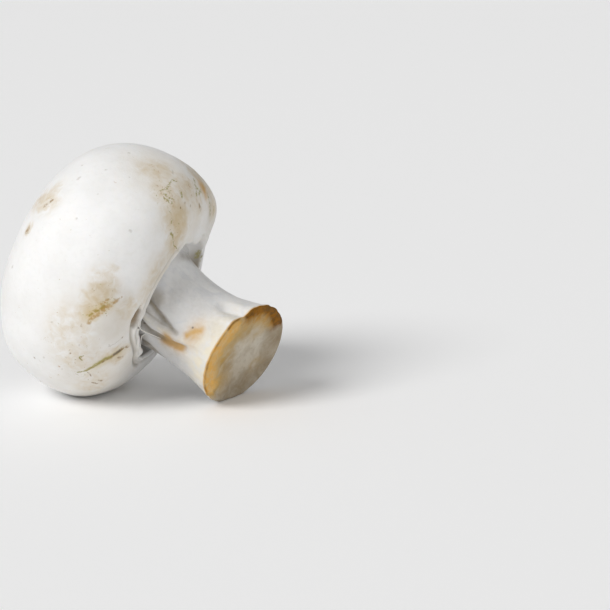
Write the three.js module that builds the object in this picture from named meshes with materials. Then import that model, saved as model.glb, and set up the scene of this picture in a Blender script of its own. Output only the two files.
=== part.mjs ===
// A button mushroom, cut off at the foot and lying on its side on the rim of its cap and the edge
// of its cut. It grew as one piece, so it is one closed solid with a single skin, which runs from
// the crown over the cap, round the rolled margin, up into the narrow recess round the neck, down
// the fluted stem and across the cut.
//
// The skin is first shaped upright, as the mushroom grew: the stem's axis is Z and the cut is at
// height 0. Azimuth 0 is the side that faces up and away from the table once it lies down, and
// azimuth 270 is the side where the margin is creased. Then it is tipped over, pressed a little
// flat where it touches the table and centred. Millimetres and degrees, +Z up, stem towards +X.

import * as THREE from "three";

// The cap
const CAP_RADIUS = 25;
const CROWN_HEIGHT = 48.05;
const WIDEST_HEIGHT = 31.05;
const LIP_RADIUS = 12.3;
const LIP_HEIGHT = 18.1;
const DOME_FULLNESS = 2.34; // 2 is an ellipse, more is squarer
const FLANK_FULLNESS = 2.18;
const CAP_OVAL = { share: 0.01, waves: 2, at: 20 };
const CAP_TRIANGLE = { share: 0.027, waves: 3, at: -44 };
const CAP_NOD = { aboutX: 2.8, aboutY: -3.7, pivotHeight: 27.3 };
const CAP_SHIFT = { x: 0.75, y: -0.38 };

// Soft lumps all over the cap: how many go round it, how far each turns on its way to the lip
const LUMP_HEIGHT = 0.14;
const LUMPS = [
  { waves: 3, wind: 1.9, start: 0 },
  { waves: 5, wind: -2.3, start: 1.1 },
];

// Broad swells and hollows of the cap: azimuth and polar angle (0 is the crown, 90 the widest
// part, 180 the lip), how many degrees each spreads, and its height
const SWELLS = [
  { azimuth: 40, wide: 30, polar: 80, long: 30, height: -1.0 },
  { azimuth: 72, wide: 26, polar: 158, long: 24, height: -1.3 },
  { azimuth: 45, wide: 22, polar: 141, long: 18, height: 0.75 },
  { azimuth: 95, wide: 18, polar: 160, long: 14, height: 0.4 },
  { azimuth: 158, wide: 20, polar: 164, long: 16, height: 0.4 },
  { azimuth: 208, wide: 16, polar: 71, long: 16, height: -0.4 },
  { azimuth: 190, wide: 16, polar: 134, long: 16, height: -0.2 },
  { azimuth: 330, wide: 20, polar: 40, long: 18, height: -0.2 },
];

// The margin of the cap, which curls in round the neck
const LIP_ROLL = 0.4;
const LIP_BEAD = { height: 0.28, width: 0.55 };
const VEIL = { at: 35, spread: 62 }; // where the veil still closes the margin to the neck
const RECESS_DEPTH = 2.6;
const RECESS_HOLLOW = { extra: 1.9, at: 208, spread: 30 };
const RECESS_END = 0.7; // where it meets the neck, as a share of its depth
const RECESS_ARCH = { marginOut: 0.5, marginUp: 1.1, neckOut: 0.3, neckUp: 1.35 };
const LIP_PUCKER = { inward: 0.45, at: 222, spread: 32 };

// The stem
const NECK_RADIUS = 9.8;
const WAIST_RADIUS = 9.15;
const FOOT_RADIUS = 11.25;
const STEM_OVAL = { share: -0.063, waves: 2, at: 25 };
const STEM_LEAN = { x: 0.42, y: -0.23 };
const STEM_BOW = { x: -0.46, y: -0.2 };
const CUT_SLOPE = { x: 0.047, y: -0.22 };
const CUT_HOLLOW = { depth: 0.45, reach: 0.75 };
const RIM_ROUND = 0.4;

// Creases in the margin's underside: a path of azimuth and distance out from the lip
const CREASES = [
  { path: [[277, 3.2], [267, 3.9], [256, 3.1], [240, 1.9], [226, 1.1], [205, 1.5], [188, 1.9]],
    depth: 0.5, width: 0.45 },
  { path: [[276, 2.3], [268, 2.7], [261, 2.2]], depth: 0.75, width: 0.85 },
  { path: [[120, 2.0], [138, 2.7], [158, 2.1]], depth: 0.4, width: 0.6 },
];

// Flutes along the stem: azimuth at lip height, its change for each millimetre further down
const FLUTES = [
  { neck: 285, turn: -1.3, depth: 0.85, width: 0.75, top: 19, bottom: 9 },
  { neck: 251, turn: 1.05, depth: 1.0, width: 0.8, top: 19, bottom: 5.5 },
  { neck: 268, turn: 0.3, depth: -0.35, width: 0.7, top: 18, bottom: 4 },
  { neck: 328, turn: -0.05, depth: 1.2, width: 1.15, top: 4.5, bottom: -2 },
  { neck: 310, turn: 0, depth: -0.8, width: 1.3, top: 3, bottom: -2 },
  { neck: 216, turn: 0.4, depth: 0.45, width: 1.1, top: 18, bottom: 3 },
  { neck: 168, turn: 0.6, depth: 0.5, width: 0.9, top: 19, bottom: 6 },
  { neck: 128, turn: -0.5, depth: 0.6, width: 1.0, top: 19, bottom: 4 },
  { neck: 92, turn: 0.4, depth: 0.45, width: 0.9, top: 19, bottom: 8 },
  { neck: 47, turn: -0.4, depth: 0.5, width: 1.0, top: 19, bottom: 5 },
  { neck: 12, turn: 0.3, depth: 0.3, width: 1.1, top: 16, bottom: 6 },
];

// How it lies
const LYING_TILT = 62.15;
const PRESSED_FLAT = 0.6;

// The mesh: rings in each stretch of the skin, and points round each ring
const RINGS = { dome: 13, flank: 15, lip: 3, recess: 6, stem: 15, rim: 2, cut: 4 };
const ROUND = 96;
const LIP_CROWDING = 1.5; // more rings near the lip than at the widest part
const STEP = { along: 0.004, round: 0.4 }; // how far apart the skin's slope is felt for

const radians = THREE.MathUtils.degToRad;
const mix = THREE.MathUtils.lerp;
const smooth = THREE.MathUtils.smoothstep;

// A bell that is 1 at zero and fades to nothing by about two widths.
function bell(distance, width) {
  return Math.exp(-((distance / width) ** 2));
}

// The shortest way round from one azimuth to another, between -180 and 180 degrees.
function turnBetween(from, to) {
  return THREE.MathUtils.euclideanModulo(to - from + 180, 360) - 180;
}

// How much a gentle wave round the axis widens a section at an azimuth.
function waveRound({ share, waves, at }, azimuth) {
  return share * Math.cos(waves * radians(azimuth - at));
}

// How far the margin curls in at an azimuth.
function lipRadius(azimuth) {
  const pucker = bell(turnBetween(LIP_PUCKER.at, azimuth), LIP_PUCKER.spread);
  return LIP_RADIUS - LIP_PUCKER.inward * pucker;
}

// 1 where the veil joins the margin to the neck, fading to 0 where it has torn away.
function veiled(azimuth) {
  return Math.exp(-((turnBetween(VEIL.at, azimuth) / VEIL.spread) ** 4));
}

function recessDepth(azimuth) {
  const hollow = bell(turnBetween(RECESS_HOLLOW.at, azimuth), RECESS_HOLLOW.spread);
  return (RECESS_DEPTH + RECESS_HOLLOW.extra * hollow) * (1 - 0.35 * veiled(azimuth));
}

// The stem's radius at a height, a parabola through the foot, the waist and the neck.
function stemRadius(height) {
  const up = height / LIP_HEIGHT;
  const middle = 2 * WAIST_RADIUS - (FOOT_RADIUS + NECK_RADIUS) / 2;
  return FOOT_RADIUS * (1 - up) ** 2 + 2 * middle * up * (1 - up) + NECK_RADIUS * up ** 2;
}

// Each stretch of the skin gives radius, height and how much the point belongs to the cap, from
// its share of the way along the stretch.
function dome(share) {
  const polar = share * Math.PI / 2;
  return {
    radius: CAP_RADIUS * Math.sin(polar) ** (2 / DOME_FULLNESS),
    height: WIDEST_HEIGHT
      + (CROWN_HEIGHT - WIDEST_HEIGHT) * Math.max(Math.cos(polar), 0) ** (2 / DOME_FULLNESS),
    cap: 1,
  };
}

function flank(share, azimuth) {
  const below = (1 - (1 - share) ** LIP_CROWDING) * Math.PI / 2;
  const inner = lipRadius(azimuth) + LIP_ROLL;
  const outward = Math.max(Math.cos(below), 0) ** (2 / FLANK_FULLNESS);
  return {
    radius: inner + (CAP_RADIUS - inner) * outward,
    height: WIDEST_HEIGHT
      - (WIDEST_HEIGHT - LIP_HEIGHT) * Math.sin(below) ** (2 / FLANK_FULLNESS),
    cap: 1,
  };
}

function lip(share, azimuth) {
  const turn = share * Math.PI / 2;
  return {
    radius: lipRadius(azimuth) + LIP_ROLL * (1 - Math.sin(turn)),
    height: LIP_HEIGHT + LIP_ROLL * (1 - Math.cos(turn)),
    cap: 1,
  };
}

function recess(share, azimuth) {
  const depth = recessDepth(azimuth);
  const neckHeight = LIP_HEIGHT + RECESS_END * depth;
  const neck = stemRadius(neckHeight);
  const edge = lipRadius(azimuth);
  const { marginOut, marginUp, neckOut, neckUp } = RECESS_ARCH;
  const curve = new THREE.CubicBezierCurve(
    new THREE.Vector2(edge, LIP_HEIGHT + LIP_ROLL),
    new THREE.Vector2(edge + marginOut, LIP_HEIGHT + marginUp * depth),
    new THREE.Vector2(neck + neckOut, LIP_HEIGHT + neckUp * depth),
    new THREE.Vector2(neck, neckHeight),
  );
  const point = curve.getPoint(share);
  return { radius: point.x, height: point.y, cap: 1 - smooth(share, 0, 1) };
}

function stem(share, azimuth) {
  const height = mix(LIP_HEIGHT + RECESS_END * recessDepth(azimuth), RIM_ROUND, share);
  return { radius: stemRadius(height), height, cap: 0 };
}

function rim(share) {
  const turn = share * Math.PI / 2;
  return {
    radius: stemRadius(RIM_ROUND) - RIM_ROUND * (1 - Math.cos(turn)),
    height: RIM_ROUND * (1 - Math.sin(turn)),
    cap: 0,
  };
}

function cut(share) {
  const edge = stemRadius(RIM_ROUND) - RIM_ROUND;
  return {
    radius: edge * (1 - share),
    height: CUT_HOLLOW.depth * smooth(share, 0, CUT_HOLLOW.reach),
    cap: 0,
  };
}

const STRETCHES = { dome, flank, lip, recess, stem, rim, cut };
const NAMES = Object.keys(STRETCHES);
const LIP_START = NAMES.indexOf("lip");
const RECESS_START = NAMES.indexOf("recess");
const STEM_START = NAMES.indexOf("stem");
const RIM_START = NAMES.indexOf("rim");

// The skin before creases and flutes. Along counts the stretches passed, from 0 at the crown.
function plainSkin(along, azimuth) {
  const at = THREE.MathUtils.clamp(along, 0, NAMES.length);
  const stretch = Math.min(Math.floor(at), NAMES.length - 1);
  const { radius, height, cap } = STRETCHES[NAMES[stretch]](at - stretch, azimuth);
  const turn = radians(azimuth);

  const capRadius = radius
    * (1 + waveRound(CAP_OVAL, azimuth) + waveRound(CAP_TRIANGLE, azimuth));
  const onCap = new THREE.Vector3(
    capRadius * Math.cos(turn),
    capRadius * Math.sin(turn),
    height - CAP_NOD.pivotHeight,
  );
  onCap.applyAxisAngle(new THREE.Vector3(0, 1, 0), radians(CAP_NOD.aboutY));
  onCap.applyAxisAngle(new THREE.Vector3(1, 0, 0), radians(CAP_NOD.aboutX));
  onCap.add(new THREE.Vector3(CAP_SHIFT.x, CAP_SHIFT.y, CAP_NOD.pivotHeight));

  const up = height / LIP_HEIGHT;
  const bow = 4 * up * (1 - up);
  const stemWidth = radius * (1 + waveRound(STEM_OVAL, azimuth));
  const x = stemWidth * Math.cos(turn) + STEM_LEAN.x * up + STEM_BOW.x * bow;
  const y = stemWidth * Math.sin(turn) + STEM_LEAN.y * up + STEM_BOW.y * bow;
  const slope = (CUT_SLOPE.x * x + CUT_SLOPE.y * y) * (1 - up);
  return new THREE.Vector3(x, y, height + slope).lerp(onCap, cap);
}

// The direction out of the skin, from two short steps along it and round it.
function outward(along, azimuth) {
  const { along: ahead, round } = STEP;
  const down = plainSkin(along + ahead, azimuth).sub(plainSkin(along - ahead, azimuth));
  const sideways = plainSkin(along, azimuth + round).sub(plainSkin(along, azimuth - round));
  return down.cross(sideways).normalize();
}

// How far a crease's path is from a point of the flank, both as distances on the skin.
function distanceToPath(path, azimuth, fromLip) {
  const scale = radians(LIP_RADIUS + fromLip);
  const point = new THREE.Vector3(0, fromLip, 0);
  let turn = turnBetween(azimuth, path[0][0]);
  const corners = path.map(([at, out], i) => {
    if (i > 0) turn += turnBetween(path[i - 1][0], at);
    return new THREE.Vector3(turn * scale, out, 0);
  });
  const distances = corners.slice(1).map((corner, i) => {
    const nearest = new THREE.Vector3();
    new THREE.Line3(corners[i], corner).closestPointToPoint(point, true, nearest);
    return nearest.distanceTo(point);
  });
  return Math.min(...distances);
}

// Creases, the lip's bead and soft lumps on the cap, in millimetres out of the skin.
function capRelief(along, azimuth) {
  const point = along < 1 ? dome(along) : flank(along - 1, azimuth);
  const fromLip = point.radius - lipRadius(azimuth);
  const away = Math.PI * along;
  let relief = 0;
  for (const { waves, wind, start } of LUMPS) {
    const fade = Math.sin(away / 2) * smooth(LIP_START - along, 0, 0.5);
    relief += LUMP_HEIGHT * fade * Math.sin(waves * radians(azimuth) + wind * away + start);
  }
  const below = along < 1 ? 0 : 1 - (LIP_START - along) ** LIP_CROWDING;
  const polar = 90 * (Math.min(along, 1) + below);
  for (const swell of SWELLS) {
    const across = bell(turnBetween(swell.azimuth, azimuth), swell.wide);
    relief += swell.height * across * bell(polar - swell.polar, swell.long);
  }
  if (along < 1) return relief;
  const edge = bell(fromLip - LIP_ROLL, LIP_BEAD.width);
  relief += LIP_BEAD.height * edge * (1 - 0.9 * veiled(azimuth));
  for (const { path, depth, width } of CREASES) {
    relief -= depth * bell(distanceToPath(path, azimuth, fromLip), width);
  }
  return relief;
}

function stemRelief(height, azimuth) {
  const scale = radians(stemRadius(height));
  let relief = 0;
  for (const { neck, turn, depth, width, top, bottom } of FLUTES) {
    const middle = neck + turn * (LIP_HEIGHT - height);
    const sideways = turnBetween(middle, azimuth) * scale;
    const ends = smooth(height, bottom - 2, bottom + 2.5) * smooth(top + 3 - height, 0, 3);
    relief -= depth * bell(sideways, width) * ends;
  }
  return relief;
}

// How fully the flutes show: they start half-way into the recess and fade over the cut face.
function fluted(along) {
  if (along < RIM_START) return smooth(along, RECESS_START + 0.5, STEM_START);
  return Math.max(0, 1 - (along - RIM_START) / 1.4);
}

function skin(along, azimuth) {
  const point = plainSkin(along, azimuth);
  if (along > 0 && along <= LIP_START) {
    point.addScaledVector(outward(along, azimuth), capRelief(along, azimuth));
  }
  if (fluted(along) > 0) {
    const share = THREE.MathUtils.clamp(along - STEM_START, 0, 1);
    const relief = fluted(along) * stemRelief(stem(share, azimuth).height, azimuth);
    const turn = radians(azimuth);
    point.add(new THREE.Vector3(Math.cos(turn), Math.sin(turn), 0).multiplyScalar(relief));
  }
  return point;
}

function makeSkin() {
  const stations = [0];
  NAMES.forEach((name, stretch) => {
    for (let ring = 1; ring <= RINGS[name]; ring++) stations.push(stretch + ring / RINGS[name]);
  });
  const profile = stations.map((along) => {
    const point = plainSkin(along, 0);
    return new THREE.Vector2(point.x, point.z);
  });
  const geometry = new THREE.LatheGeometry(profile, ROUND);
  const position = geometry.getAttribute("position");
  for (let side = 0; side <= ROUND; side++) {
    const azimuth = (ROUND - side) % ROUND * 360 / ROUND; // backwards, so that faces point out
    stations.forEach((along, ring) => {
      const point = skin(along, azimuth);
      position.setXYZ(side * stations.length + ring, point.x, point.y, point.z);
    });
  }
  return geometry;
}

// Tips the skin over, presses it flat where it touches and centres it over the origin.
function layDown(geometry) {
  geometry.rotateY(-radians(LYING_TILT));
  geometry.computeBoundingBox();
  const table = geometry.boundingBox.min.z + PRESSED_FLAT;
  const position = geometry.getAttribute("position");
  for (let i = 0; i < position.count; i++) {
    position.setZ(i, Math.max(position.getZ(i), table));
  }
  geometry.computeBoundingBox();
  const middle = geometry.boundingBox.getCenter(new THREE.Vector3());
  geometry.translate(-middle.x, -middle.y, -table);
  geometry.computeVertexNormals();
  return geometry;
}

const flesh = new THREE.MeshStandardMaterial({ color: 0xece8e0, roughness: 0.62, metalness: 0 });
const mushroom = new THREE.Mesh(layDown(makeSkin()), flesh);
mushroom.name = "mushroom";

const part = new THREE.Group();
part.add(mushroom);

export default part;
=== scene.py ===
# %% [markdown]
# # A button mushroom lying on its side
# The part is one white button mushroom, cut off at the foot. The solid model already gives its
# size, its place and how it rests. This lesson makes the finer skin that takes its place, with the
# creases, fibres and stains that a real mushroom has, and then lights it and sets the camera.
#
# Blender works in metres. The mushroom is described in millimetres, because that is how small
# things are measured, and it is scaled once, when it is laid down.

# %% Load the solid model as the frame
import math

import bmesh
import bpy
import numpy as np
from mathutils import Matrix, Vector


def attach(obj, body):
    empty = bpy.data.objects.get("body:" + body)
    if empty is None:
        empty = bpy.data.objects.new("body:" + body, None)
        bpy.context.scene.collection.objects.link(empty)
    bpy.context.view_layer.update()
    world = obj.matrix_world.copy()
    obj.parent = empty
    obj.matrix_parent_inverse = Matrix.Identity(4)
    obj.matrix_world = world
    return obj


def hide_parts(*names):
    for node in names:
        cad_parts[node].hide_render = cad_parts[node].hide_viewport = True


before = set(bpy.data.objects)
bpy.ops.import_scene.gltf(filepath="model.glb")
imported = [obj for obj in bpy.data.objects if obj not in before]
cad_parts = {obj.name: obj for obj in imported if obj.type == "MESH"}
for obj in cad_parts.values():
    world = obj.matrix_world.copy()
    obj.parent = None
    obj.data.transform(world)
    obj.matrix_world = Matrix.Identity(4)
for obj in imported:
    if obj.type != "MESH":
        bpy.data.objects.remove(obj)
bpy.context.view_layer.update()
MM = 0.001

# %% [markdown]
# ## The form as it grew
# A mushroom grows upright, round one axis, so it is easiest to describe standing: the axis is Z
# and the cut is at height 0. The skin is one sheet. It starts at the crown, runs over the dome to
# the widest part, down the flank to the lip, rolls in, climbs the recess round the neck, runs down
# the stem, turns over the rim and closes across the cut. Those are seven stretches, and a number
# called *along* counts them: 0 is the crown, 2 is the lip, 7 is the middle of the cut.
#
# It could be sculpted by hand, but a formula can be read, changed and repeated. Each stretch gives
# a radius and a height, and later steps bend, swell and crease what those describe.

# %% Sizes of the cap and the stem, in millimetres and degrees
CAP_RADIUS = 25
CROWN_HEIGHT = 48.05
WIDEST_HEIGHT = 31.05
LIP_RADIUS = 12.3
LIP_HEIGHT = 18.1
DOME_FULLNESS = 2.34  # 2 is an ellipse, more is squarer
FLANK_FULLNESS = 2.18
LIP_ROLL = 0.4
LIP_PUCKER = {"inward": 0.45, "at": 222, "spread": 32}

VEIL = {"at": 35, "spread": 63, "edge": 12, "roll": 1.3}  # where it joins the margin to the neck
VEIL_ARC = 0.35  # how much of the lip's turn the veil leaves out
RECESS_DEPTH = 2.6
RECESS_HOLLOW = {"extra": 1.9, "at": 208, "spread": 30}
RECESS_END = 0.7  # how far up its depth the neck begins, as a share
RECESS_ARCH = {"margin_out": 0.5, "margin_up": 1.1, "neck_out": 0.3, "neck_up": 1.35}
VEIL_ARCH = {"margin_in": 0.7, "margin_up": 1.0, "neck_out": 0.5, "neck_up": -0.1, "end": 3.0}

NECK_RADIUS = 9.8
WAIST_RADIUS = 9.15
FOOT_RADIUS = 11.25
CUT_HOLLOW = {"depth": 0.45, "reach": 0.75}
RIM_ROUND = 0.4
print("cap, mm:", 2 * CAP_RADIUS, "wide; stem, mm:", 2 * WAIST_RADIUS, "to", 2 * FOOT_RADIUS)


# %% Small curves that everything else is made of
def bell(distance, width, flat=2):
    """1 at zero, gone by about two widths. A higher flat has a flatter top and steeper sides."""
    return np.exp(-((distance / width) ** flat))


def smooth(value, low, high):
    """0 below low, 1 above high, and a soft step between."""
    share = np.clip((value - low) / (high - low), 0, 1)
    return share * share * (3 - 2 * share)


def blend(first, second, share):
    """From the first at a share of 0 to the second at 1."""
    return first + (second - first) * share


def turn_between(start, end):
    """The shortest way round from one azimuth to another, from -180 to 180 degrees."""
    return (end - start + 180) % 360 - 180


print("from azimuth 350 to 20 is", turn_between(350, 20), "degrees")


# %% Sizes that change round the axis or up the stem
def veiled(azimuth):
    """1 where the veil joins the margin to the neck, 0 where it has torn away."""
    return bell(turn_between(VEIL["at"], azimuth), VEIL["spread"], VEIL["edge"])


def lip_radius(azimuth):
    pucker = bell(turn_between(LIP_PUCKER["at"], azimuth), LIP_PUCKER["spread"])
    return LIP_RADIUS - LIP_PUCKER["inward"] * pucker


def lip_roll(azimuth):
    return LIP_ROLL + VEIL["roll"] * veiled(azimuth)


def recess_depth(azimuth):
    hollow = bell(turn_between(RECESS_HOLLOW["at"], azimuth), RECESS_HOLLOW["spread"])
    return RECESS_DEPTH + RECESS_HOLLOW["extra"] * hollow


def neck_height(azimuth):
    """Where the recess ends and the stem begins."""
    web = veiled(azimuth)
    return LIP_HEIGHT + (1 - web) * RECESS_END * recess_depth(azimuth) + web * VEIL_ARCH["end"]


def stem_radius(height):
    """A parabola through the foot, the waist and the neck."""
    up = height / LIP_HEIGHT
    middle = 2 * WAIST_RADIUS - (FOOT_RADIUS + NECK_RADIUS) / 2
    return FOOT_RADIUS * (1 - up) ** 2 + 2 * middle * up * (1 - up) + NECK_RADIUS * up**2


stem_heights = (0, LIP_HEIGHT / 2, LIP_HEIGHT)
print("stem radius, mm:", [round(stem_radius(height), 2) for height in stem_heights])

# %% [markdown]
# Each stretch is a function of the share of the way along it and the azimuth. It gives the radius,
# the height and how much of the cap's own tilt the point takes: all of it on the cap, none on the
# stem, and a soft change between the two in the recess.

# %% The stretches of the cap
LIP_CROWDING = 1.5  # more rings near the lip than at the widest part


def below_widest(share):
    """The angle below the widest part, in radians, for a share of the flank."""
    return (1 - (1 - share) ** LIP_CROWDING) * np.pi / 2


def dome(share, azimuth):
    polar = share * np.pi / 2
    radius = CAP_RADIUS * np.sin(polar) ** (2 / DOME_FULLNESS)
    rise = np.clip(np.cos(polar), 0, 1) ** (2 / DOME_FULLNESS)
    return radius, WIDEST_HEIGHT + (CROWN_HEIGHT - WIDEST_HEIGHT) * rise, 1


def flank(share, azimuth):
    below = below_widest(share)
    inner = lip_radius(azimuth) + lip_roll(azimuth)
    outward = np.clip(np.cos(below), 0, 1) ** (2 / FLANK_FULLNESS)
    drop = (WIDEST_HEIGHT - LIP_HEIGHT) * np.sin(below) ** (2 / FLANK_FULLNESS)
    return inner + (CAP_RADIUS - inner) * outward, WIDEST_HEIGHT - drop, 1


def lip(share, azimuth):
    """The rolled edge: a quarter turn where it is free, less where the veil holds it."""
    turn = share * np.pi / 2 * (1 - VEIL_ARC * veiled(azimuth))
    roll = lip_roll(azimuth)
    radius = lip_radius(azimuth) + roll * (1 - np.sin(turn))
    return radius, LIP_HEIGHT + roll * (1 - np.cos(turn)), 1


print("crown, mm:", dome(0, 0)[1], "high")


# %% The recess between the lip and the neck
def recess(share, azimuth):
    """A cubic Bezier curve from the lip's inner edge to the neck: an open hollow, or a low web."""
    depth = recess_depth(azimuth)
    web = veiled(azimuth)
    edge, edge_height, _ = lip(np.ones(len(share)), azimuth)
    end = neck_height(azimuth)
    neck = stem_radius(end)
    free, held = RECESS_ARCH, VEIL_ARCH
    free_radii = (edge + free["margin_out"], neck + free["neck_out"])
    free_heights = (LIP_HEIGHT + free["margin_up"] * depth, LIP_HEIGHT + free["neck_up"] * depth)
    held_radii = (edge - held["margin_in"], neck + held["neck_out"])
    held_heights = (edge_height + held["margin_up"], end + held["neck_up"])
    radii = [edge, *(blend(*pair, web) for pair in zip(free_radii, held_radii)), neck]
    heights = [edge_height, *(blend(*pair, web) for pair in zip(free_heights, held_heights)), end]
    weights = ((1 - share) ** 3, 3 * share * (1 - share) ** 2, 3 * share**2 * (1 - share), share**3)
    radius = sum(weight * value for weight, value in zip(weights, radii))
    height = sum(weight * value for weight, value in zip(weights, heights))
    return radius, height, 1 - smooth(share, 0, 1)


print("recess, mm:", RECESS_DEPTH, "to", RECESS_DEPTH + RECESS_HOLLOW["extra"], "deep")


# %% The stretches of the stem, and all seven in one outline
def stem(share, azimuth):
    top = neck_height(azimuth)
    height = top + (RIM_ROUND - top) * share
    return stem_radius(height), height, 0


def rim(share, azimuth):
    turn = share * np.pi / 2
    radius = stem_radius(RIM_ROUND) - RIM_ROUND * (1 - np.cos(turn))
    return radius, RIM_ROUND * (1 - np.sin(turn)), 0


def cut(share, azimuth):
    edge = stem_radius(RIM_ROUND) - RIM_ROUND
    return edge * (1 - share), CUT_HOLLOW["depth"] * smooth(share, 0, CUT_HOLLOW["reach"]), 0


STRETCHES = [dome, flank, lip, recess, stem, rim, cut]
LIP_START, RECESS_START, STEM_START, RIM_START, CUT_START = 2, 3, 4, 5, 6


def outline(along, azimuth):
    """Radius, height and share of cap of many points of the skin at once."""
    along = np.clip(along, 0, len(STRETCHES))
    number = np.minimum(np.floor(along), len(STRETCHES) - 1)
    found = np.zeros((3, len(along)))
    for stretch, shape in enumerate(STRETCHES):
        here = number == stretch
        radius, height, cap = shape(along[here] - stretch, azimuth[here])
        found[0, here] = radius
        found[1, here] = height
        found[2, here] = cap
    return found


print("stretches:", [shape.__name__ for shape in STRETCHES])

# %% [markdown]
# ## Not quite round
# No mushroom is turned on a lathe. The cap is a little oval and three-sided, sits askew on the
# stem and is nudged to one side. The stem bows, and the knife went through it at a slant. Each of
# these is one small wave or shift, so that the whole stays smooth.

# %% The plain skin: bent, tilted and pushed out of round
CAP_OVAL = {"share": 0.01, "waves": 2, "at": 20}
CAP_TRIANGLE = {"share": 0.027, "waves": 3, "at": -44}
CAP_NOD = {"about_x": 2.8, "about_y": -3.7, "pivot_height": 27.3}
CAP_SHIFT = (0.75, -0.38)  # mm along X and Y
STEM_OVAL = {"share": -0.063, "waves": 2, "at": 25}
STEM_LEAN = (0.42, -0.23)  # mm at the lip's height
STEM_BOW = (-0.46, -0.2)  # mm at half that height
CUT_SLOPE = (0.047, -0.22)  # rise per mm along X and Y
SLOPE_STEP = {"along": 0.004, "round": 0.4}  # the short steps that measure the skin's slope


def wave_round(wave, azimuth):
    return wave["share"] * np.cos(wave["waves"] * np.radians(azimuth - wave["at"]))


def turned(points, axis, degrees):
    return points @ np.array(Matrix.Rotation(math.radians(degrees), 3, axis)).T


def plain_skin(along, azimuth):
    """Points of the skin before creases and flutes, upright, in millimetres."""
    radius, height, cap = outline(along, azimuth)
    turn = np.radians(azimuth)
    wide = radius * (1 + wave_round(CAP_OVAL, azimuth) + wave_round(CAP_TRIANGLE, azimuth))
    pivot = CAP_NOD["pivot_height"]
    on_cap = np.stack([wide * np.cos(turn), wide * np.sin(turn), height - pivot], axis=1)
    on_cap = turned(on_cap, "Y", CAP_NOD["about_y"])
    on_cap = turned(on_cap, "X", CAP_NOD["about_x"]) + [*CAP_SHIFT, pivot]

    up = height / LIP_HEIGHT
    bow = 4 * up * (1 - up)
    wide = radius * (1 + wave_round(STEM_OVAL, azimuth))
    x = wide * np.cos(turn) + STEM_LEAN[0] * up + STEM_BOW[0] * bow
    y = wide * np.sin(turn) + STEM_LEAN[1] * up + STEM_BOW[1] * bow
    slope = (CUT_SLOPE[0] * x + CUT_SLOPE[1] * y) * (1 - up)
    on_stem = np.stack([x, y, height + slope], axis=1)
    return blend(on_stem, on_cap, cap[:, None])


def outward(along, azimuth):
    """The direction out of the plain skin at each point, from short steps along and round it."""
    step, degrees = SLOPE_STEP["along"], SLOPE_STEP["round"]
    down = plain_skin(along + step, azimuth) - plain_skin(along - step, azimuth)
    sideways = plain_skin(along, azimuth + degrees) - plain_skin(along, azimuth - degrees)
    out = np.cross(down, sideways)
    return out / np.maximum(np.linalg.norm(out, axis=1, keepdims=True), 1e-9)


print("lip at azimuth 270, mm:", plain_skin(np.array([2.0]), np.array([270.0])).round(1))

# %% [markdown]
# ## Relief
# What stands out of the plain skin or sinks into it comes in two sizes. Broad swells shape the
# cap, creases fold the margin where it curled in, and flutes run down the stem: those are in the
# solid model too, so here they have the same places. Finer things are only here: the sharp edge of
# the torn veil, the fibres of the stem, and the rough surface that the knife left.
#
# A displacement modifier with a texture could do the fine part. Moving the points in code keeps
# every mark in a named place, and the finished mesh carries it without any modifier.

# %% Broad swells and soft lumps of the cap
LUMP_HEIGHT = 0.14
LUMPS = [(3, 1.9, 0), (5, -2.3, 1.1)]  # waves round the cap, how they wind, where they start
LUMPS_END = 0.5  # how far before the lip they begin to fade, as a share of the flank
SWELLS = [  # azimuth, spread, polar angle (0 crown, 90 widest, 180 lip), spread, height in mm
    (40, 30, 80, 30, -1.0),
    (72, 26, 158, 24, -1.3),
    (45, 22, 141, 18, 0.75),
    (95, 18, 160, 14, 0.4),
    (158, 20, 164, 16, 0.4),
    (208, 16, 71, 16, -0.4),
    (190, 16, 134, 16, -0.2),
    (330, 20, 40, 18, -0.2),
]


def polar_angle(along):
    """Degrees from the crown: 90 at the widest part and 180 at the lip."""
    below = np.degrees(below_widest(np.clip(along - 1, 0, 1)))
    return 90 * np.clip(along, 0, 1) + below


def broad_relief(along, azimuth):
    polar = polar_angle(along)
    away = np.pi * along
    fade = np.sin(np.clip(away, 0, 2 * np.pi) / 2) * smooth(LIP_START - along, 0, LUMPS_END)
    relief = np.zeros(len(along))
    for waves, wind, start in LUMPS:
        relief += LUMP_HEIGHT * fade * np.sin(waves * np.radians(azimuth) + wind * away + start)
    for at, wide, angle, long, height in SWELLS:
        relief += height * bell(turn_between(at, azimuth), wide) * bell(polar - angle, long)
    return relief


print("swells and hollows of the cap:", len(SWELLS))

# %% Creases of the margin, each along a path of azimuth and distance out from the lip
CREASES = [  # path, depth, width, and how flat its floor is (2 is a round groove)
    ([(277, 3.2), (267, 3.9), (256, 3.1), (240, 1.9), (226, 1.1), (205, 1.5), (188, 1.9)],
     0.5, 0.4, 2),
    ([(271.5, 3.1), (266.5, 3.0), (261, 2.5)], 0.85, 0.85, 4),
    ([(120, 2.0), (138, 2.7), (158, 2.1)], 0.4, 0.6, 2),
    ([(262, 1.1), (250, 0.9), (238, 0.75)], 0.22, 0.22, 2),
    ([(300, 1.3), (289, 1.5), (281, 1.9)], 0.1, 0.3, 2),
]


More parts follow.
